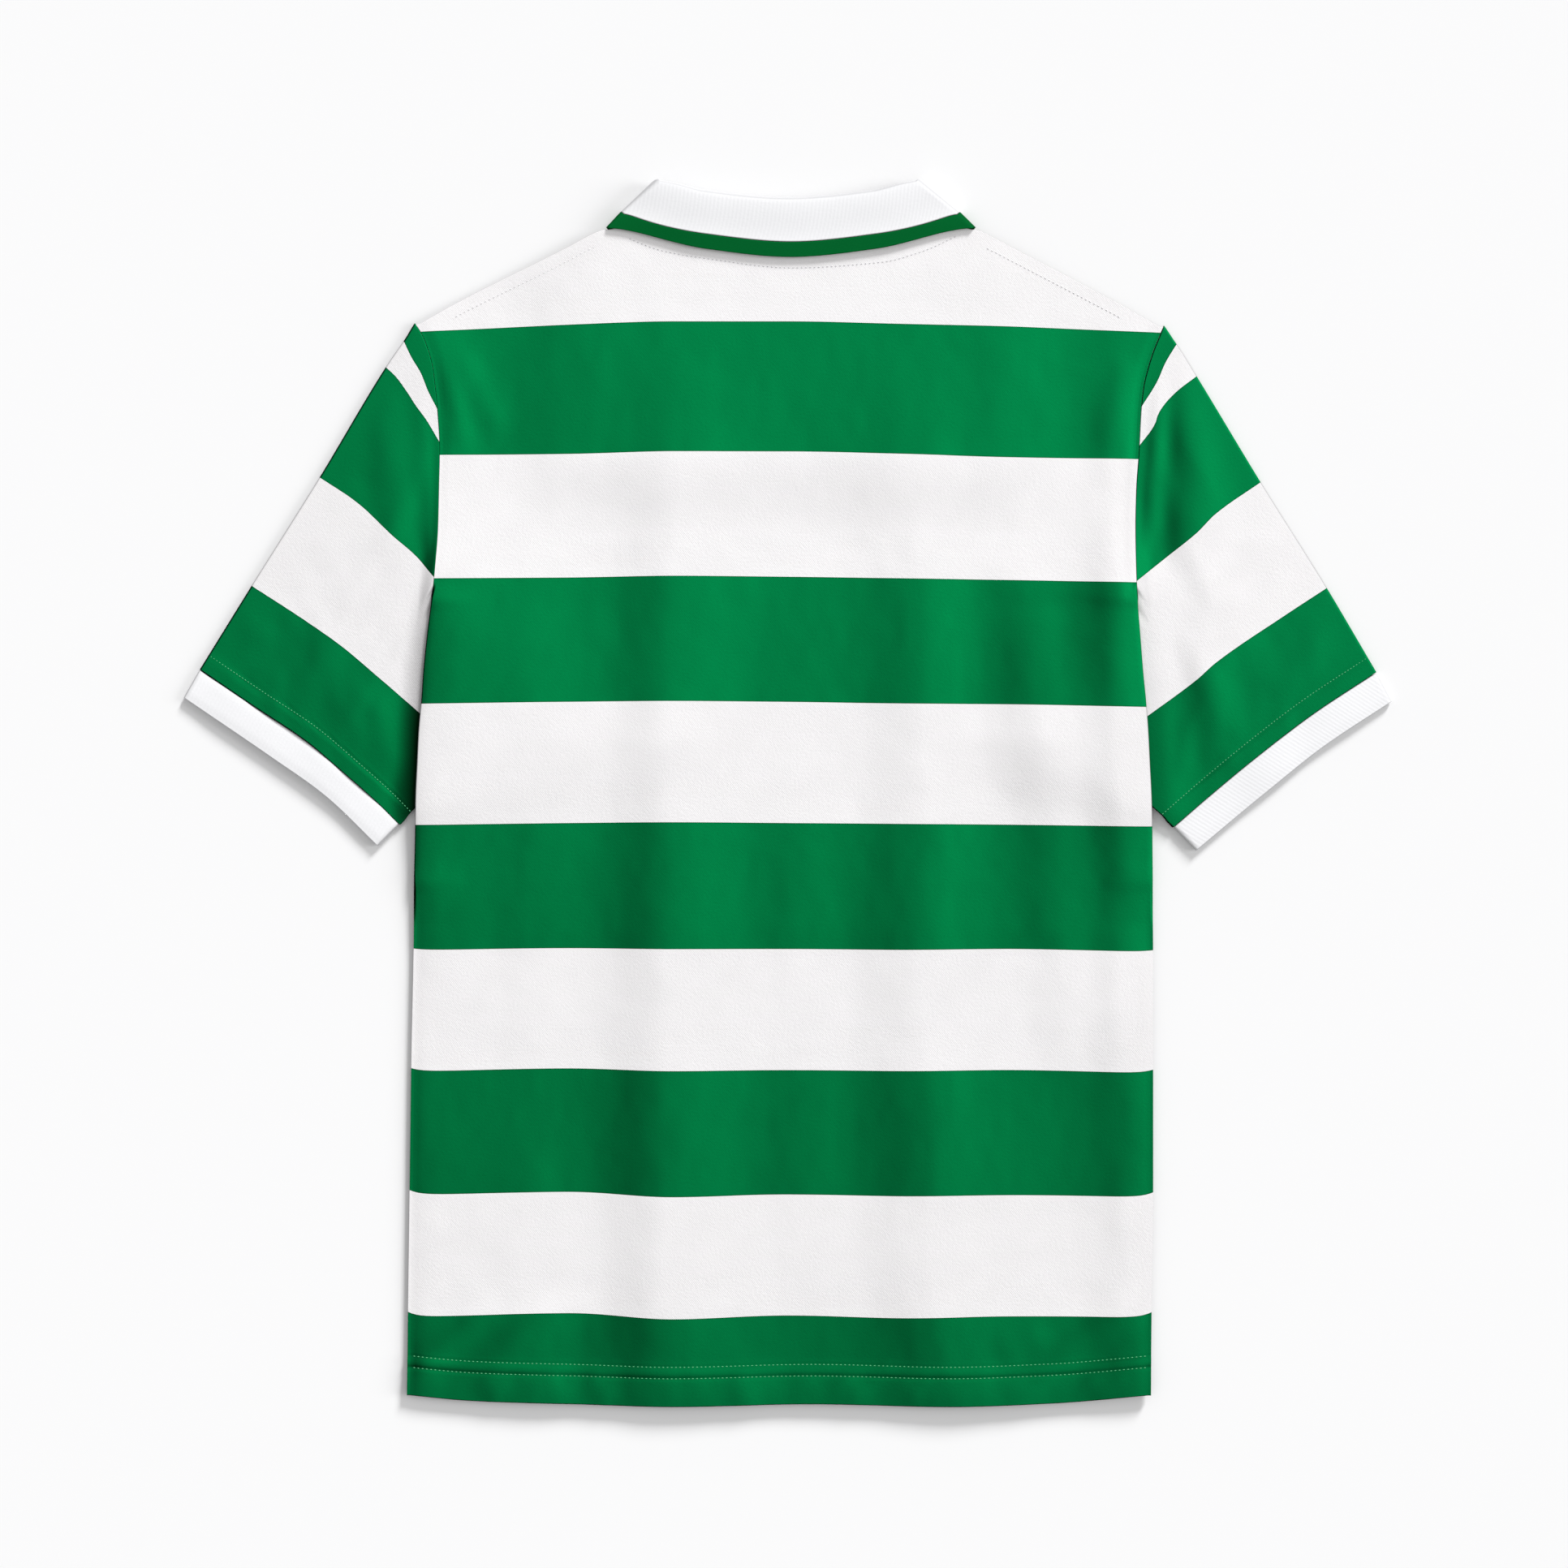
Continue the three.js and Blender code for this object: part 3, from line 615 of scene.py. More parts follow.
def make_mesh(name, points, faces, material, values=None, smooth=0):
    """Mesh object whose first faces, as many as `smooth` says, are smooth and the others flat."""
    mesh = bpy.data.meshes.new(name)
    mesh.from_pydata((points / 1000).tolist(), [], faces.tolist())
    if values is not None:
        layer = mesh.uv_layers.new(name="Cloth")
        layer.data.foreach_set("uv", values[faces.reshape(-1)].astype(np.float32).reshape(-1))
    mesh.polygons.foreach_set("use_smooth", [k < smooth for k in range(len(mesh.polygons))])
    mesh.materials.append(material)
    mesh.update()
    obj = bpy.data.objects.new(name, mesh)
    bpy.context.scene.collection.objects.link(obj)
    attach(obj, "root")
    return obj


def path(points):
    """A path through plan points read by its share of length."""
    pts = np.array(points, float)
    length = np.concatenate([[0], np.cumsum(np.linalg.norm(np.diff(pts, axis=0), axis=1))])
    fx = curve(list(zip(length, pts[:, 0])))
    fy = curve(list(zip(length, pts[:, 1])))
    return lambda share: np.stack([fx(share * length[-1]), fy(share * length[-1])], -1)


def armhole(side, rows):
    """Where the sleeve's two layers start, from the shoulder down to the armpit."""
    outward = 1 if side else -1
    places, tops, bottoms = [], [], []
    for row_y in rows:
        profile = edge_profile(row_y)
        out, drop = profile[-1]
        first = edge_x[side](row_y) + outward * profile[0][0]
        y = float(side_y(side, row_y))
        half = math.radians(float(turn_angle(row_y))) / 2
        away = mix(0.06, 1.3 * GAP, math.sin(half)) + CLOTH * math.sin(half)
        places.append((edge_x[side](row_y) + outward * (out + away * math.cos(half)), y))
        tops.append(float(back_surface(np.array([first]), np.array([y]))[0]) - drop - away * math.sin(half))
        bottoms.append(float(front_height(first, y)) + drop + away * math.sin(half))
    return np.array(places, float), np.array(tops), np.array(bottoms)


TURN_UP = 10.5  # from the cuff seam to the row of stitches above it


def seam_distance(side, x, y):
    """Distance in plan from the cuff seam."""
    line = path(SLEEVES[side]["seam"])(np.linspace(0, 1, 240))
    return np.min(np.hypot(x[..., None] - line[:, 0], y[..., None] - line[:, 1]), axis=-1)


def sleeve_floor(side, x, y):
    outside = (1 if side else -1) * (x - edge_x[side](y))
    near = 1 - (ease(8, 34, outside) if side else ease(1, 17, outside))
    return BASE + 2 * PLY * near * ease(-30, -8, y) * ease(150, 119, y)


def sleeve_grid(side, shares, rows):
    """Rings of a sleeve from the armhole to the cuff seam; also the two plan coordinates."""
    part = SLEEVES[side]
    sign = part["sign"]
    places, start_top, start_bottom = armhole(side, rows)
    length = np.concatenate([[0], np.cumsum(np.linalg.norm(np.diff(places, axis=0), axis=1))])
    t = length / length[-1]
    places[-1] += (sign * 2.5, 1.5)
    outer_at, seam_at = path(part["outer"]), path(part["seam"])
    armpit, inner = places[-1], np.array(part["seam"][-1], float)
    tip, corner = places[0], np.array(part["seam"][0], float)
    finish = seam_at(t)
    half = LAYER / 2
    rings = []
    for s in shares:
        edge = outer_at(np.array(s))
        under = mix(armpit, inner, s)
        plan = mix(places, finish, s) + mix(edge, under, t[:, None])
        plan -= mix(mix(tip, armpit, t[:, None]), mix(corner, inner, t[:, None]), s)
        a, b = outer_at(np.array(max(0, s - 0.02))), outer_at(np.array(min(1, s + 0.02)))
        along = (b - a) / np.linalg.norm(b - a)
        inward = np.array([sign * along[1], -sign * along[0]])
        pull = half * (1 - ease(0, 0.08, t)) * ease(0, 0.05, s)
        plan += inward * pull[:, None]
        x, y = plan[:, 0], plan[:, 1]
        settle = ease(0, 0.14, s)
        floor = sleeve_floor(side, x, y)
        swell = (0.7 if side else 1.1) * np.sin(np.pi * t) * ease(0, 0.3, s)
        for start, end, width, rise in SLEEVE_FOLDS:
            near = np.exp(-0.5 * ((t - mix(start, end, s)) / width) ** 2)
            swell = swell + rise * ease(0.02, 0.2, s) * ease(1.1, 0.7, s) * near
        calm = np.clip(4 * t * (1 - t) * 2, 0, 1) * ease(0, 0.06, s)
        swell = swell + calm * creases(x, y, SLEEVE_CREASES[side])
        swell = swell + calm * (0.22 * noise(x, y, 26, 30, 7 + side) + 0.1 * noise(x, y, 9, 12, 9 + side))
        seam = seam_distance(side, x, y)
        swell = swell - 0.3 * np.exp(-0.5 * ((seam - TURN_UP) / 0.8) ** 2) + 0.25 * ease(14, 10, seam)
        level = (floor - BASE) / (2 * PLY)
        roof = floor + mix(LAYER, PLY, level) + np.maximum(swell, -0.3) * (1 - level)
        bottom = mix(start_bottom, floor, settle)
        top = mix(start_top, roof, settle)
        tops = np.stack([x, y, top], 1)
        bottoms = np.stack([x, y, bottom], 1)
        rings.append(close_ring(tops, bottoms, half, side))
    return np.array(rings)


def close_ring(tops, bottoms, half, side):
    """Joins a top and a bottom layer with a small round fold at both edges."""

    def fold(edge_top, edge_bottom, following):
        out = edge_top[:2] - following[:2]
        out = out / np.linalg.norm(out)
        middle = (edge_top[2] + edge_bottom[2]) / 2
        rise = (edge_top[2] - edge_bottom[2]) / 2
        points = []
        for angle in (45, 0, -45):
            a = math.radians(angle)
            plan = edge_top[:2] + out * half * math.cos(a)
            points.append((plan[0], plan[1], middle + rise * math.sin(a)))
        return np.array(points)

    outer = fold(tops[0], bottoms[0], tops[1])[::-1]
    under = fold(tops[-1], bottoms[-1], tops[-2])
    ring = np.concatenate([outer, tops, under, bottoms[::-1]])
    return ring[::-1] if side else ring


def cuff_grid(side, across=14, around=90):
    part = SLEEVES[side]
    seam_at, end_at = path(part["seam"]), path(part["end"])
    t = np.linspace(0, 1, around)
    inset = 0.006 + 0.988 * t
    rings = []
    for s in sorted([0.05, 0.975, *np.linspace(0.02, 1, across)]):
        plan = mix(seam_at(inset), end_at(inset), s)
        swell = 0.5 * np.sin(np.pi * t) + 0.3 * np.sin(2.5 * np.pi * t) ** 2
        swell += 0.2 * noise(plan[:, 0], plan[:, 1], 20, 20, 12 + side) * np.sin(np.pi * t)
        swell -= 0.3 * np.exp(-0.5 * (s / 0.08) ** 2) + 0.25 * ease(0.7, 1.05, s)
        top = 1.5 * CUFF + GAP + swell
        tops = np.column_stack([plan, top])
        bottoms = np.column_stack([plan, np.full(around, 0.5 * CUFF)])
        rings.append(close_ring(tops, bottoms, (CUFF + GAP) / 2, side))
    return np.array(rings)


# The collar's lines from the neck seam to the free edge. SLANT and ACROSS are the sine and
# cosine of the way its folded corners point.
SLANT = 0.7
ACROSS = math.sqrt(1 - SLANT * SLANT)
FOLD_BACK = [
    (-83, 376.6), (-70, 375.0), (-50, 370.6), (0.5, 366.3),
    (51, 370.6), (71, 375.0), (84, 376.6),
]
SPLIT_BACK = [
    (-104, 357.6), (-97, 354.7), (-50, 344.3), (2, 339.5),
    (54, 344.3), (100, 354.7), (107, 357.4),
]
EDGE_BACK = [
    (-111.25, 348.5), (-97, 346.2), (-50, 335.4), (2, 330.4),
    (54, 335.4), (100, 346.2), (115.25, 348.5),
]
STAND_ROOM = 2.05
FALL_ROOM = 3.7
# turn: where a line turns at each side; back: its run across the neck; inset and radius: its round
# fold; axis and middle: heights at the fold and at the middle of the back; front: its ends at the
# front; shift: how far the fold's ends move up the slant; join: how far a line rises at its corners
LINES = {
    "seam": {
        "turn": [(-103.1, 351.2), (106.7, 351.4)], "back": None,
        "inset": 0, "radius": 0.83, "axis": 3.13, "middle": 3.96,
        "front": [(-0.2, 241.2), (2.2, 241.2)],
    },
    "stand": {
        "turn": [(-83.3, 375.9), (84.3, 375.9)], "back": curve(FOLD_BACK),
        "inset": FALL_ROOM, "radius": STAND_ROOM, "axis": 4.35, "middle": 3.96, "shift": 3.5,
        "front": [(-2.2, 246.2), (4.2, 246.2)],
    },
    "fall": {
        "turn": [(-83.3, 375.9), (84.3, 375.9)], "back": curve(FOLD_BACK),
        "inset": FALL_ROOM, "radius": FALL_ROOM, "axis": 4.35, "middle": 8.4, "shift": 3.5,
        "front": [(-2.2, 246.2), (4.2, 246.2)],
    },
    "split": {
        "turn": [(-102.75, 357.5), (106.25, 357.25)], "back": curve(SPLIT_BACK),
        "inset": 3.0, "radius": 3.0, "axis": 3.65, "middle": 7.2, "join": 1.2,
        "front": [(-52.5, 229.5), (54.5, 229.5)],
    },
    "edge": {
        "turn": [(-111.25, 348.5), (115.25, 348.5)], "back": curve(EDGE_BACK),
        "inset": 2.3, "radius": 2.3, "axis": 2.95, "middle": 5.6, "join": 1.1,
        "front": [(-60, 223), (62, 223)],
    },
}


def collar_stations():
    """Places round the collar: part, side, and the share or turn angle there."""
    front = list(np.linspace(1, 0.015, 52))
    angles = [math.radians(a) for a in range(-90, 91, 15)]
    back = list(np.linspace(-0.985, 0.985, 110))
    stations = [("front", 0, s) for s in front]
    stations += [("turn", 0, a) for a in angles]
    stations += [("back", 0 if s < 0 else 1, s) for s in back]
    stations += [("turn", 1, a) for a in reversed(angles)]
    stations += [("front", 1, s) for s in reversed(front)]
    return stations


def fold_direction(part, side, s):
    sign = -1 if side else 1
    turned = np.array([sign * ACROSS, SLANT])
    target, share = turned, 0
    if part == "back":
        target, share = np.array([0, 1.0]), float(ease(1, 0.8, abs(s)))
    if part == "front":
        target, share = np.array([sign * 0.854, 0.52]), float(ease(0, 0.3, s))
    way = mix(turned, target, share)
    return way / np.linalg.norm(way)


def line_point(line, part, side, s):
    """Point of one of the collar's lines. The fold's lines keep their corners, moved up the slant."""
    shift = line.get("shift", 0)

    def slanted(k):
        return np.array([-ACROSS if k else ACROSS, SLANT]) * shift

    def axis(k):
        sign = 1 if k else -1
        return np.array([
            line["turn"][k][0] - sign * SLANT * line["inset"],
            line["turn"][k][1] - ACROSS * line["inset"],
        ])

    radius, height = line["radius"], line["axis"]
    if part == "turn":
        plan = axis(side) + np.array([SLANT if side else -SLANT, ACROSS]) * radius * math.cos(s)
        plan = plan + slanted(side) * float(ease(-0.2, 1, math.sin(s)))
        plan[1] += line.get("join", 0) * float(ease(0.2, 1, math.sin(s)))
        return np.array([plan[0], plan[1], height + radius * math.sin(s)])
    if part == "front":
        x, y = mix(axis(side), np.array(line["front"][side], float), s)
        return np.array([x, y, height - radius])
    ends = [axis(k) + slanted(k) for k in (0, 1)]
    x = mix(ends[0][0], ends[1][0], (s + 1) / 2)
    joined = ends[side][1] + line.get("join", 0.6)
    y = mix(float(line["back"](x)), joined, abs(s) ** 16)
    return np.array([x, y, mix(line["middle"], height + radius, s**4)])


def seam_point(part, side, s):
    line = LINES["seam"]
    if part == "front":
        x, y = mix(np.array(line["turn"][side], float), np.array(line["front"][side], float), s)
        return np.array([x, max(y, float(front_neck(x)) + 1.5 * GAP), line["axis"] - line["radius"]])
    if part == "turn":
        return line_point(line, part, side, s)
    x = mix(line["turn"][0][0], line["turn"][1][0], (s + 1) / 2)
    y = float(back_neck(x)) + 1.3 * GAP + 0.8 * float(ease(60, 92, abs(x - 2)))
    return np.array([x, y, line["middle"]])


def spread_between(start, end, count, rim):
    """Even shares from start to end with one more close to either end."""
    return [start, *np.linspace(start + rim, end - rim, count), end]


def between(a, b, shares):
    return [a + (b - a) * k for k in shares]


def collar_grids():
    collar, band = [], []
    for part, side, s in collar_stations():
        way = fold_direction(part, side, s)
        stand = line_point(LINES["stand"], part, side, s)
        fall = line_point(LINES["fall"], part, side, s)
        middle = (stand + fall) / 2
        radial = fall - middle
        out = np.array([way[0], way[1], 0]) * np.linalg.norm(radial)
        if part == "back":
            stand, fall, middle = stand - out, fall - out, middle - out
        seam = seam_point(part, side, s)
        split = line_point(LINES["split"], part, side, s)
        edge = line_point(LINES["edge"], part, side, s)
        arc = [
            middle + radial * math.sin(math.radians(a)) + out * math.cos(math.radians(a))
            for a in range(-75, 76, 15)
        ]
        fall_end = 1 - 0.5 * GAP / np.linalg.norm(split - fall)
        band_start = 0.5 * GAP / np.linalg.norm(split - edge)
        shares = np.append(np.linspace(0, fall_end - 0.025, 18), fall_end)
        leaf = between(fall, split, shares)
        for point, share in zip(leaf, shares):
            point[2] = mix(fall[2], split[2], float(ease(0, 1, share)))
        strip = between(split, edge, spread_between(band_start, 1, 10, 0.06))
        collar.append(between(seam, stand, spread_between(0, 1, 12, 0.02)) + arc + leaf)
        band.append(strip)
    return np.array(collar), np.array(band)


def lengths_along(grid, axis):
    """Running length of a grid along one of its axes."""
    step = np.linalg.norm(np.diff(grid, axis=axis), axis=2)
    start = np.zeros_like(np.take(step, [0], axis=axis))
    return np.concatenate([start, np.cumsum(step, axis=axis)], axis=axis)


def node(tree, kind, inputs=None, **settings):
    made = tree.nodes.new(kind)
    for key, value in settings.items():
        setattr(made, key, value)
    for key, value in (inputs or {}).items():
        if isinstance(value, bpy.types.NodeSocket):
            tree.links.new(value, made.inputs[key])
        else:
            made.inputs[key].default_value = value
    return made


def maths(tree, operation, a, b=0.0):
    return node(tree, "ShaderNodeMath", {0: a, 1: b}, operation=operation).outputs[0]


def blend_colour(tree, factor, a, b, kind="MIX"):
    made = node(tree, "ShaderNodeMix", data_type="RGBA", blend_type=kind)
    for socket, value in (("Factor_Float", factor), ("A_Color", a), ("B_Color", b)):
        target = next(i for i in made.inputs if i.identifier == socket)
        if isinstance(value, bpy.types.NodeSocket):
            tree.links.new(value, target)
        else:
            target.default_value = value
    return next(o for o in made.outputs if o.identifier == "Result_Color")


def new_material(name):
    material = bpy.data.materials.new(name)
    material.use_nodes = True
    tree = material.node_tree
    shader = tree.nodes["Principled BSDF"]
    shader.inputs["Roughness"].default_value = 0.88
    shader.inputs["Specular IOR Level"].default_value = 0.02
    shader.inputs["Sheen Weight"].default_value = 0.01
    shader.inputs["Sheen Roughness"].default_value = 0.4
    return material, tree, shader


def cloudy(tree, colour, amount):
    """Faint uneven tone over the cloth."""
    place = node(tree, "ShaderNodeTexCoord").outputs["Object"]
    wide = node(tree, "ShaderNodeTexNoise", {"Vector": place, "Scale": 38.0, "Detail": 4.0}).outputs[0]
    fine = node(tree, "ShaderNodeTexNoise", {"Vector": place, "Scale": 900.0, "Detail": 2.0}).outputs[0]
    tone = maths(tree, "ADD", maths(tree, "MULTIPLY", wide, 0.6), maths(tree, "MULTIPLY", fine, 0.4))
    shade = maths(tree, "ADD", maths(tree, "MULTIPLY", tone, 2 * amount), 1 - amount)
    grey = node(tree, "ShaderNodeCombineColor", {0: shade, 1: shade, 2: shade}).outputs[0]
    return blend_colour(tree, 1.0, colour, grey, "MULTIPLY")


def knit_bump(tree, shader, pitch, depth):
    """Fine knit: columns of loops a pitch apart, broken up by fine noise."""
    place = node(tree, "ShaderNodeTexCoord").outputs["Object"]
    parts = node(tree, "ShaderNodeSeparateXYZ", {0: place}).outputs
    wales = maths(tree, "SINE", maths(tree, "MULTIPLY", parts[0], 2 * math.pi / pitch))
    rows = maths(tree, "SINE", maths(tree, "MULTIPLY", parts[1], 2 * math.pi / (pitch * 0.8)))
    loops = maths(tree, "MULTIPLY", wales, rows)
    grain = node(tree, "ShaderNodeTexNoise", {"Vector": place, "Scale": 700.0, "Detail": 3.0}).outputs[0]
    height = maths(tree, "ADD", maths(tree, "MULTIPLY", loops, 0.35), grain)
    bump = node(tree, "ShaderNodeBump", {"Height": height, "Distance": depth, "Strength": 0.6})
    tree.links.new(bump.outputs[0], shader.inputs["Normal"])


def linear(red, green, blue):
    def channel(v):
        v /= 255
        return v / 12.92 if v <= 0.04045 else ((v + 0.055) / 1.055) ** 2.4

    return (channel(red), channel(green), channel(blue), 1.0)


GREEN = linear(0, 124, 67)
WHITE = linear(244, 242, 243)
RIB_WHITE = linear(244, 244, 246)
TRIM_GREEN = linear(4, 105, 47)


def painted_knit_shade(tree, colour, green):
    """Painted light and shade: green lighter facing the lamps, darker facing away; white dimmed facing them;
    both darker at rolled edges and toward the hem.
    """
    coords = node(tree, "ShaderNodeTexCoord").outputs
    slope = node(tree, "ShaderNodeSeparateXYZ", {0: coords["Normal"]}).outputs
    place = node(tree, "ShaderNodeSeparateXYZ", {0: coords["Object"]}).outputs
    # Painted light and shade from how the cloth slopes toward the lamps
    lean = maths(tree, "MULTIPLY", slope[0], 2.5)
    lean = maths(tree, "ADD", lean, maths(tree, "MULTIPLY", slope[1], 0.4))
    # Painted shade that darkens toward the hem
    down = maths(tree, "SUBTRACT", place[1], 0.25)
    dark = maths(tree, "MINIMUM", maths(tree, "MAXIMUM", lean, -0.45), 0.38)
    dark = maths(tree, "ADD", dark, maths(tree, "MULTIPLY", down, 0.57))
    light = maths(tree, "MINIMUM", maths(tree, "MAXIMUM", lean, 0.0), 0.6)
    light = maths(tree, "MULTIPLY", light, -0.33)
    light = maths(tree, "ADD", light, maths(tree, "MULTIPLY", down, 0.09))
    share = maths(tree, "ADD", maths(tree, "MULTIPLY", dark, green), light)
    share = maths(tree, "SUBTRACT", share, maths(tree, "MULTIPLY", light, green))
    # Painted shade at edges that roll away
    edge = maths(tree, "ADD", maths(tree, "MULTIPLY", green, 2.5), 1.5)
    rolled = maths(tree, "MULTIPLY", maths(tree, "SUBTRACT", 1.0, slope[2]), edge)
    rolled = maths(tree, "MINIMUM", rolled, 0.6)
    shade = maths(tree, "SUBTRACT", maths(tree, "ADD", share, 1.0), rolled)
    grey = node(tree, "ShaderNodeCombineColor", {0: shade, 1: shade, 2: shade}).outputs[0]
    return blend_colour(tree, 1.0, colour, grey, "MULTIPLY")


def hooped_material():
    """The cloth map holds the painted shadow beside the body, and the count of hoop edges."""
    material, tree, shader = new_material("hooped knit")
    uv = node(tree, "ShaderNodeUVMap", uv_map="Cloth").outputs[0]
    painted_shadow, count = node(tree, "ShaderNodeSeparateXYZ", {0: uv}).outputs[:2]
    half = maths(tree, "FRACT", maths(tree, "MULTIPLY", count, 0.5))
    green = maths(tree, "GREATER_THAN", half, 0.5)
    colour = blend_colour(tree, green, WHITE, GREEN)
    near = maths(tree, "FRACT", maths(tree, "ADD", count, 0.5))
    near = maths(tree, "ABSOLUTE", maths(tree, "SUBTRACT", near, 0.5))
    line = maths(tree, "LESS_THAN", near, 0.028)
    darker = maths(tree, "MULTIPLY", maths(tree, "MULTIPLY", line, green), 0.4)
    colour = blend_colour(tree, darker, colour, (0, 0.03, 0.01, 1))
    # Painted light and shade over the hoops' colour
    colour = painted_knit_shade(tree, colour, green)
    # Painted shadow of the body on the sleeves, deeper on green than on white
    depth = maths(tree, "ADD", maths(tree, "MULTIPLY", green, 0.54), 0.4)
    shade = maths(tree, "SUBTRACT", 1.0, maths(tree, "MULTIPLY", painted_shadow, depth))
    grey = node(tree, "ShaderNodeCombineColor", {0: shade, 1: shade, 2: shade}).outputs[0]
    colour = blend_colour(tree, 1.0, colour, grey, "MULTIPLY")
    tree.links.new(cloudy(tree, colour, 0.07), shader.inputs["Base Color"])
    knit_bump(tree, shader, KNIT_PITCH, 0.0002)
    return material


def rib_material(name, colour, pitch):
    """Ribs run across the piece: the first number of the cloth map is the length along it. Painted shade
    darkens it where it faces the lamps and at rolled edges.
    """
    material, tree, shader = new_material(name)
    uv = node(tree, "ShaderNodeUVMap", uv_map="Cloth").outputs[0]
    along = node(tree, "ShaderNodeSeparateXYZ", {0: uv}).outputs[0]
    ribs = maths(tree, "SINE", maths(tree, "MULTIPLY", along, 2 * math.pi / pitch))
    place = node(tree, "ShaderNodeTexCoord").outputs["Object"]
    grain = node(tree, "ShaderNodeTexNoise", {"Vector": place, "Scale": 700.0, "Detail": 3.0}).outputs[0]
    height = maths(tree, "ADD", maths(tree, "MULTIPLY", ribs, 0.3), grain)
    bump = node(tree, "ShaderNodeBump", {"Height": height, "Distance": 0.00007, "Strength": 0.6})
    tree.links.new(bump.outputs[0], shader.inputs["Normal"])
    # Painted shade: darker where the rib faces the lamps and at its rolled edges
    normal = node(tree, "ShaderNodeTexCoord").outputs["Normal"]
    slope = node(tree, "ShaderNodeSeparateXYZ", {0: normal}).outputs
    lean = maths(tree, "MULTIPLY", maths(tree, "MAXIMUM", slope[0], 0.0), 0.5)
    lean = maths(tree, "ADD", lean, maths(tree, "MULTIPLY", maths(tree, "MAXIMUM", slope[1], 0.0), 0.55))
    lean = maths(tree, "ADD", lean, maths(tree, "MULTIPLY", maths(tree, "SUBTRACT", 1.0, slope[2]), 0.8))
    shade = maths(tree, "MAXIMUM", maths(tree, "SUBTRACT", 1.0, lean), 0.55)
    grey = node(tree, "ShaderNodeCombineColor", {0: shade, 1: shade, 2: shade}).outputs[0]
    even = blend_colour(tree, 1.0, colour, grey, "MULTIPLY")
    tree.links.new(cloudy(tree, even, 0.04), shader.inputs["Base Color"])
    return material


def thread_material(name, colour):
    material, tree, shader = new_material(name)
    tree.links.new(cloudy(tree, colour, 0.05), shader.inputs["Base Color"])
    return material


def stitch_row(name, line, pitch, material, lift=0.5 * CLOTH):
    """A row of small stitches lying on the cloth along a line of its middle points."""
    line = np.array(line, float)
    length = np.concatenate([[0], np.cumsum(np.linalg.norm(np.diff(line, axis=0), axis=1))])
    count = int(length[-1] / pitch)
    at = (np.arange(count) + 0.5) * length[-1] / count
    centre = np.stack([np.interp(at, length, line[:, k]) for k in range(3)], 1)
    ahead = np.stack([np.interp(at + 0.5, length, line[:, k]) for k in range(3)], 1)
    behind = np.stack([np.interp(at - 0.5, length, line[:, k]) for k in range(3)], 1)
    along = ahead - behind
    along /= np.linalg.norm(along, axis=1, keepdims=True)
    side = np.stack([-along[:, 1], along[:, 0], np.zeros(count)], 1)
    side /= np.linalg.norm(side, axis=1, keepdims=True)
    up = np.cross(along, side)
    centre = centre + up * (lift + 0.13)
    corners = [along * pitch * 0.3, side * 0.3, -along * pitch * 0.3, -side * 0.3, up * 0.2, -up * 0.2]
    points = np.stack([centre + c for c in corners], 1).reshape(-1, 3)
    shape = np.array([
        (0, 1, 4), (1, 2, 4), (2, 3, 4), (3, 0, 4),
        (1, 0, 5), (2, 1, 5), (3, 2, 5), (0, 3, 5),
    ])
    faces = (np.arange(count)[:, None, None] * 6 + shape[None]).reshape(-1, 3)
    return make_mesh(name, points, faces, material)


def on_back(xs, ys):
    return np.stack([xs, ys, back_surface(xs, ys)], 1)


def sleeve_line(side, away):
    """Line of the sleeve's upper layer at a distance from the cuff seam."""
    rows = sleeve_rows()
    shares = np.linspace(0.5, 1, 60)
    grid = sleeve_grid(side, shares, rows)
    if side:
        grid = grid[:, ::-1]
    tops = grid[:, 3 : 3 + len(rows)]
    distance = seam_distance(side, tops[..., 0], tops[..., 1])
    line = []
    for k in range(len(rows) - 1):
        column = distance[::-1, k]
        line.append([np.interp(away, column, tops[::-1, k, axis]) for axis in range(3)])
    return line


def build_stitches(green_thread, white_thread_painted_grey, pale_thread):
    made = {"back": [], "left": [], "right": []}
    xs = np.linspace(-231, 221, 260)
    for k, rise in enumerate(HEM_STITCHES):
        line = on_back(xs, hem_y(xs) + rise)
        made["back"].append(stitch_row(f"hem_stitch_{k}", line, 2.6, green_thread))
    neck = curve([(-100, 343), (-77, 334.5), (-48, 329.5), (2, 324), (58, 327.5), (84, 334.5), (107, 345)])
    xs = np.linspace(-98, 104, 120)
    made["back"].append(stitch_row("neck_stitch", on_back(xs, neck(xs)), 2.6, white_thread_painted_grey))
    for side, (start, end) in enumerate(((-205, -118), (122, 205))):
        xs = np.linspace(start, end, 60)
        line = on_back(xs, shoulders[side](xs) - 9)
        made["back"].append(stitch_row(f"shoulder_stitch_{side}", line, 2.8, pale_thread))
        line = sleeve_line(side, TURN_UP)
        key = "right" if side else "left"
        made[key].append(stitch_row(f"sleeve_stitch_{side}", line, 2.1, green_thread))
    return made


def sleeve_rows():
    rows = [y for y in panel_rows(4, 0.5) if y > ARMPIT + 1]
    return ([ARMPIT, ARMPIT + 0.5] + rows)[::-1]


def painted_body_shadow(side, grid):
    """Painted shadow of the body on a sleeve's upper cloth, from 0 to 1; the left one painted a little darker
    all over.
    """
    x, y = grid[..., 0], grid[..., 1]
    outside = (1 if side else -1) * (x - edge_x[side](y))
    upper = grid[..., 2] > BASE + 0.5 * PLY
    # Painted shadow, deepest next to the body's edge
    painted_shadow = ease(18, 0.5, outside) * ease(150, 90, y)
    return upper * (0.25 * painted_shadow if side else np.maximum(painted_shadow, 0.1))


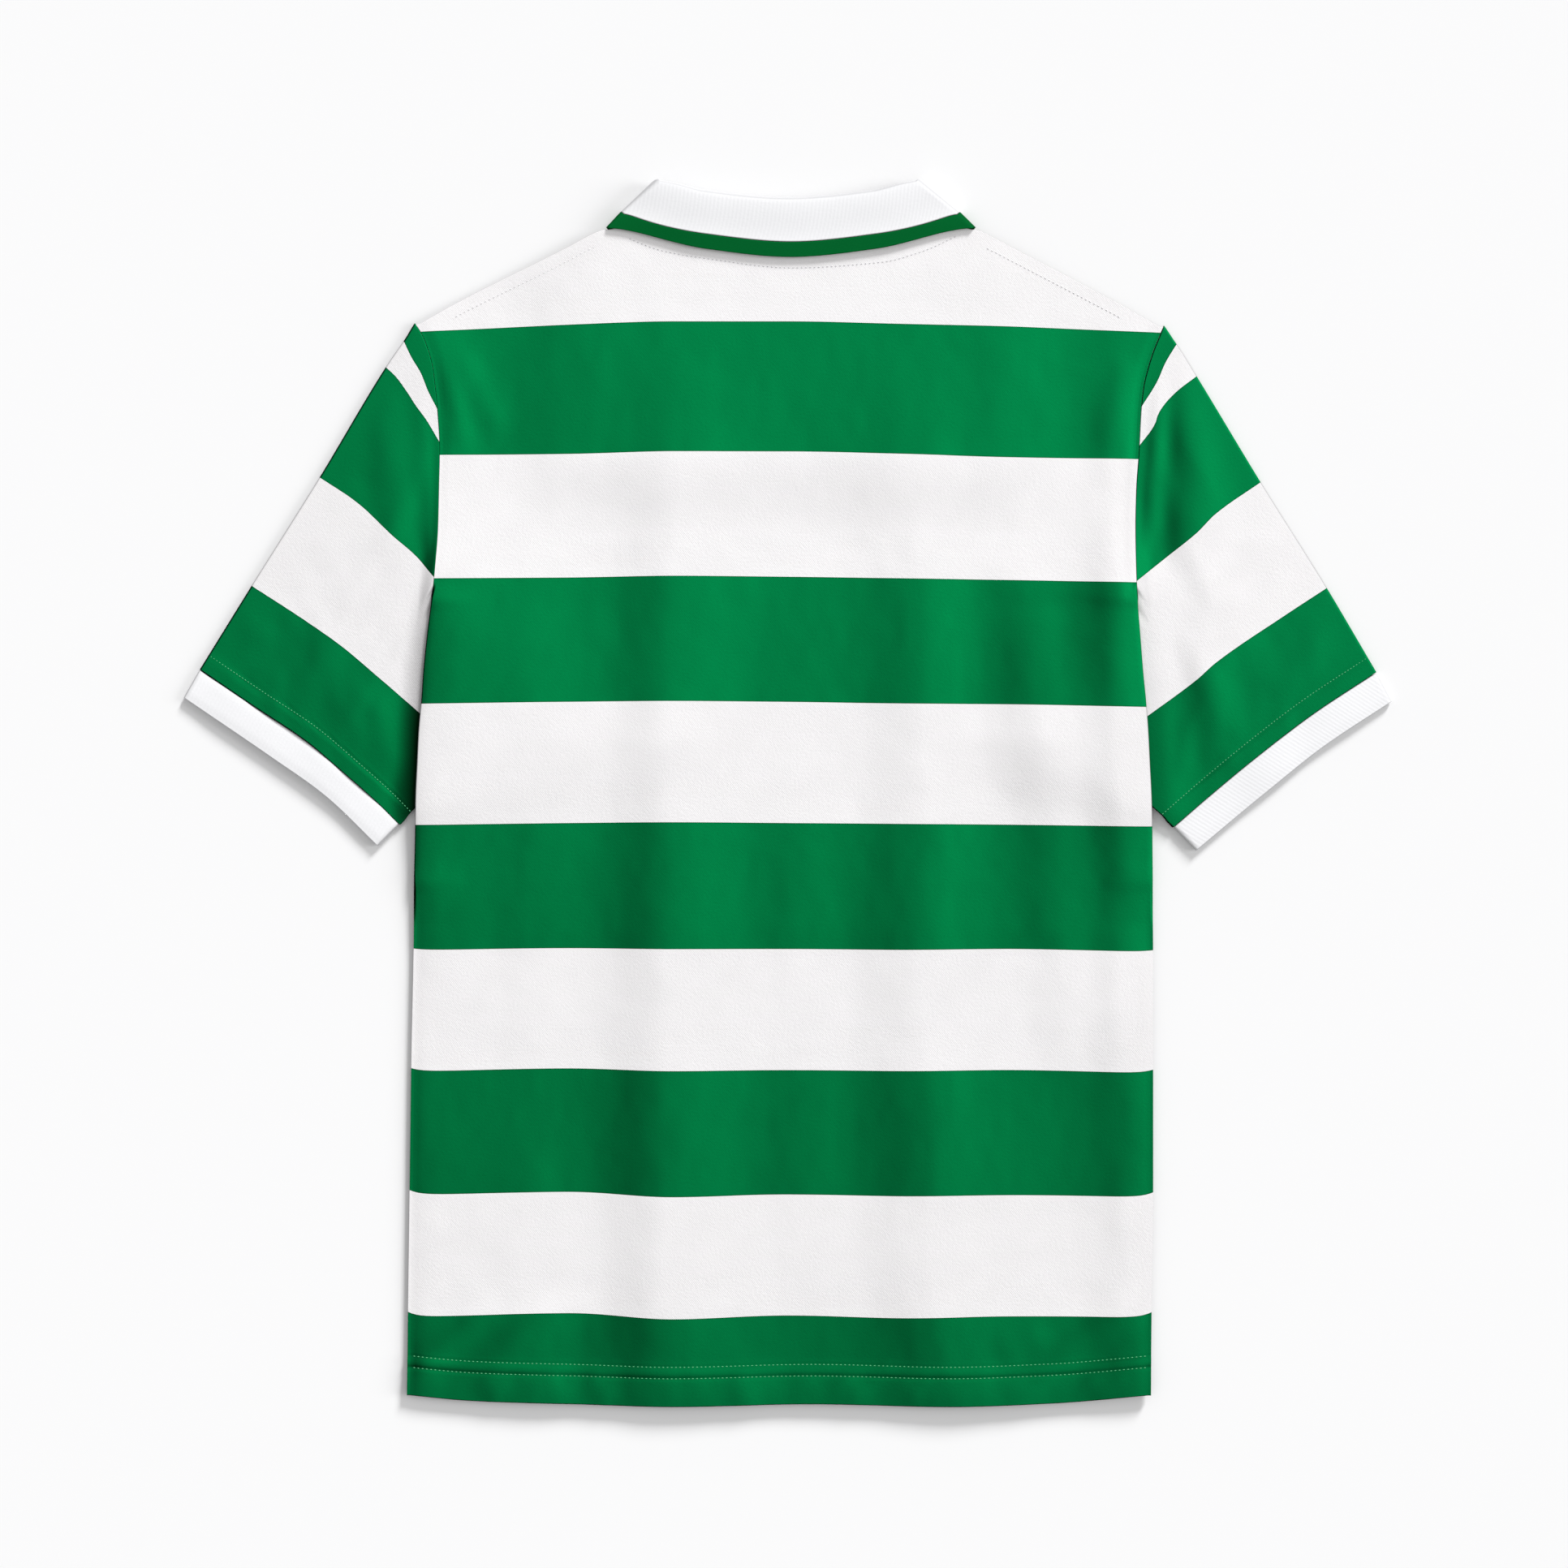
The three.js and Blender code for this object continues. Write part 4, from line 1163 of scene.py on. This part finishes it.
def build_body(material):
    rows = panel_rows(3.3, 0.5)
    columns = spread(146, NECK_SHARES)
    back = panel_grid(columns, rows, back_neck, back_surface, 1)
    counts = body_hoop(back[..., 0], back[..., 1])
    cloth = wall("back_cloth", back, CLOTH, material, np.stack([0 * counts, counts], -1))
    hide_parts("back_panel")
    rows = panel_rows(6, 0.5)
    columns = spread(72, (*NECK_SHARES, POINT_SHARE))
    front = panel_grid(columns, rows, front_neck, front_height, -1)
    counts = body_hoop(front[..., 0], front[..., 1])
    plain = wall("front_cloth", front, CLOTH, material, np.stack([0 * counts, counts], -1))
    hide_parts("front_panel")
    return cloth, plain


def build_sleeve(side, material):
    grid = sleeve_grid(side, spread(84, (0.003, 0.997)), sleeve_rows())
    counts = sleeve_hoop(side, grid[..., 0], grid[..., 1])
    name = "sleeve_right" if side else "sleeve_left"
    # The first cloth number is the painted shadow of the body
    values = np.stack([painted_body_shadow(side, grid), counts], -1)
    cloth = wall(name + "_cloth", grid, CLOTH, material, values, wrap=True)
    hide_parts(name)
    return cloth


def build_cuff(side, material):
    grid = cuff_grid(side)
    along = lengths_along(grid, 1) / 1000
    across = lengths_along(grid, 0) / 1000
    name = "cuff_right" if side else "cuff_left"
    cuff = wall(name + "_rib", grid, CUFF_WALL, material, np.stack([along, across], -1), wrap=True)
    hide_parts(name)
    return cuff


def build_collar(rib, trim):
    collar, band = collar_grids()
    pieces = []
    for name, grid, material, old in (
        ("collar_rib", collar, rib, "collar"),
        ("band_rib", band, trim, "collar_band"),
    ):
        along = lengths_along(grid, 0) / 1000
        across = lengths_along(grid, 1) / 1000
        made = wall(name, grid, COLLAR_WALL, material, np.stack([along, across], -1))
        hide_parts(old)
        pieces.append(made)
    return pieces


def set_stage():
    floor_material = bpy.data.materials.new("floor")
    floor_material.use_nodes = True
    shader = floor_material.node_tree.nodes["Principled BSDF"]
    shader.inputs["Base Color"].default_value = (0.922, 0.922, 0.926, 1)
    shader.inputs["Roughness"].default_value = 0.95
    shader.inputs["Specular IOR Level"].default_value = 0.1
    bpy.ops.mesh.primitive_plane_add(size=8, location=(0, 0, -0.0004))
    floor = bpy.context.object
    floor.name = "floor"
    floor.data.materials.append(floor_material)
    for name, toward, strength, angle in (
        ("key", (0.459, 0.842, 0.31), 4.35, 13),
        ("side", (0.95, 0.03, 0.32), 1.3, 22),
    ):
        lamp = bpy.data.lights.new(name, "SUN")
        lamp.energy = strength
        lamp.angle = math.radians(angle)
        obj = bpy.data.objects.new(name, lamp)
        obj.rotation_mode = "QUATERNION"
        way = np.array(toward) / np.linalg.norm(toward)
        obj.rotation_quaternion = Vector(way).to_track_quat("Z", "Y")
        bpy.context.scene.collection.objects.link(obj)
    world = bpy.data.worlds.new("sky")
    world.use_nodes = True
    world.node_tree.nodes["Background"].inputs[0].default_value = (1, 1, 1, 1)
    world.node_tree.nodes["Background"].inputs[1].default_value = 0.49
    scene = bpy.context.scene
    scene.world = world
    camera = bpy.data.objects.new("camera", bpy.data.cameras.new("camera"))
    camera.data.lens = 85
    camera.data.sensor_width = 36
    camera.location = (-0.00225, 0.0065, 0.966 * 85 / 36)
    scene.collection.objects.link(camera)
    scene.camera = camera
    scene.view_settings.view_transform = "Standard"


bpy.ops.object.select_all(action="SELECT")
bpy.ops.object.delete()
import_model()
hooped = hooped_material()
white_rib = rib_material("white rib", RIB_WHITE, RIB_PITCH)
green_rib = rib_material("green rib", TRIM_GREEN, RIB_PITCH)
body_back, body_front = build_body(hooped)
sleeves = [build_sleeve(side, hooped) for side in (0, 1)]
cuffs = [build_cuff(side, white_rib) for side in (0, 1)]
collar_pieces = build_collar(white_rib, green_rib)
green_thread = thread_material("green thread", linear(96, 182, 132))
# The neck's white thread is painted grey: painted shade between the stitches
white_thread_painted_grey = thread_material("white thread", linear(206, 205, 208))
pale_thread = thread_material("pale thread", linear(232, 230, 232))
stitches = build_stitches(green_thread, white_thread_painted_grey, pale_thread)
set_stage()
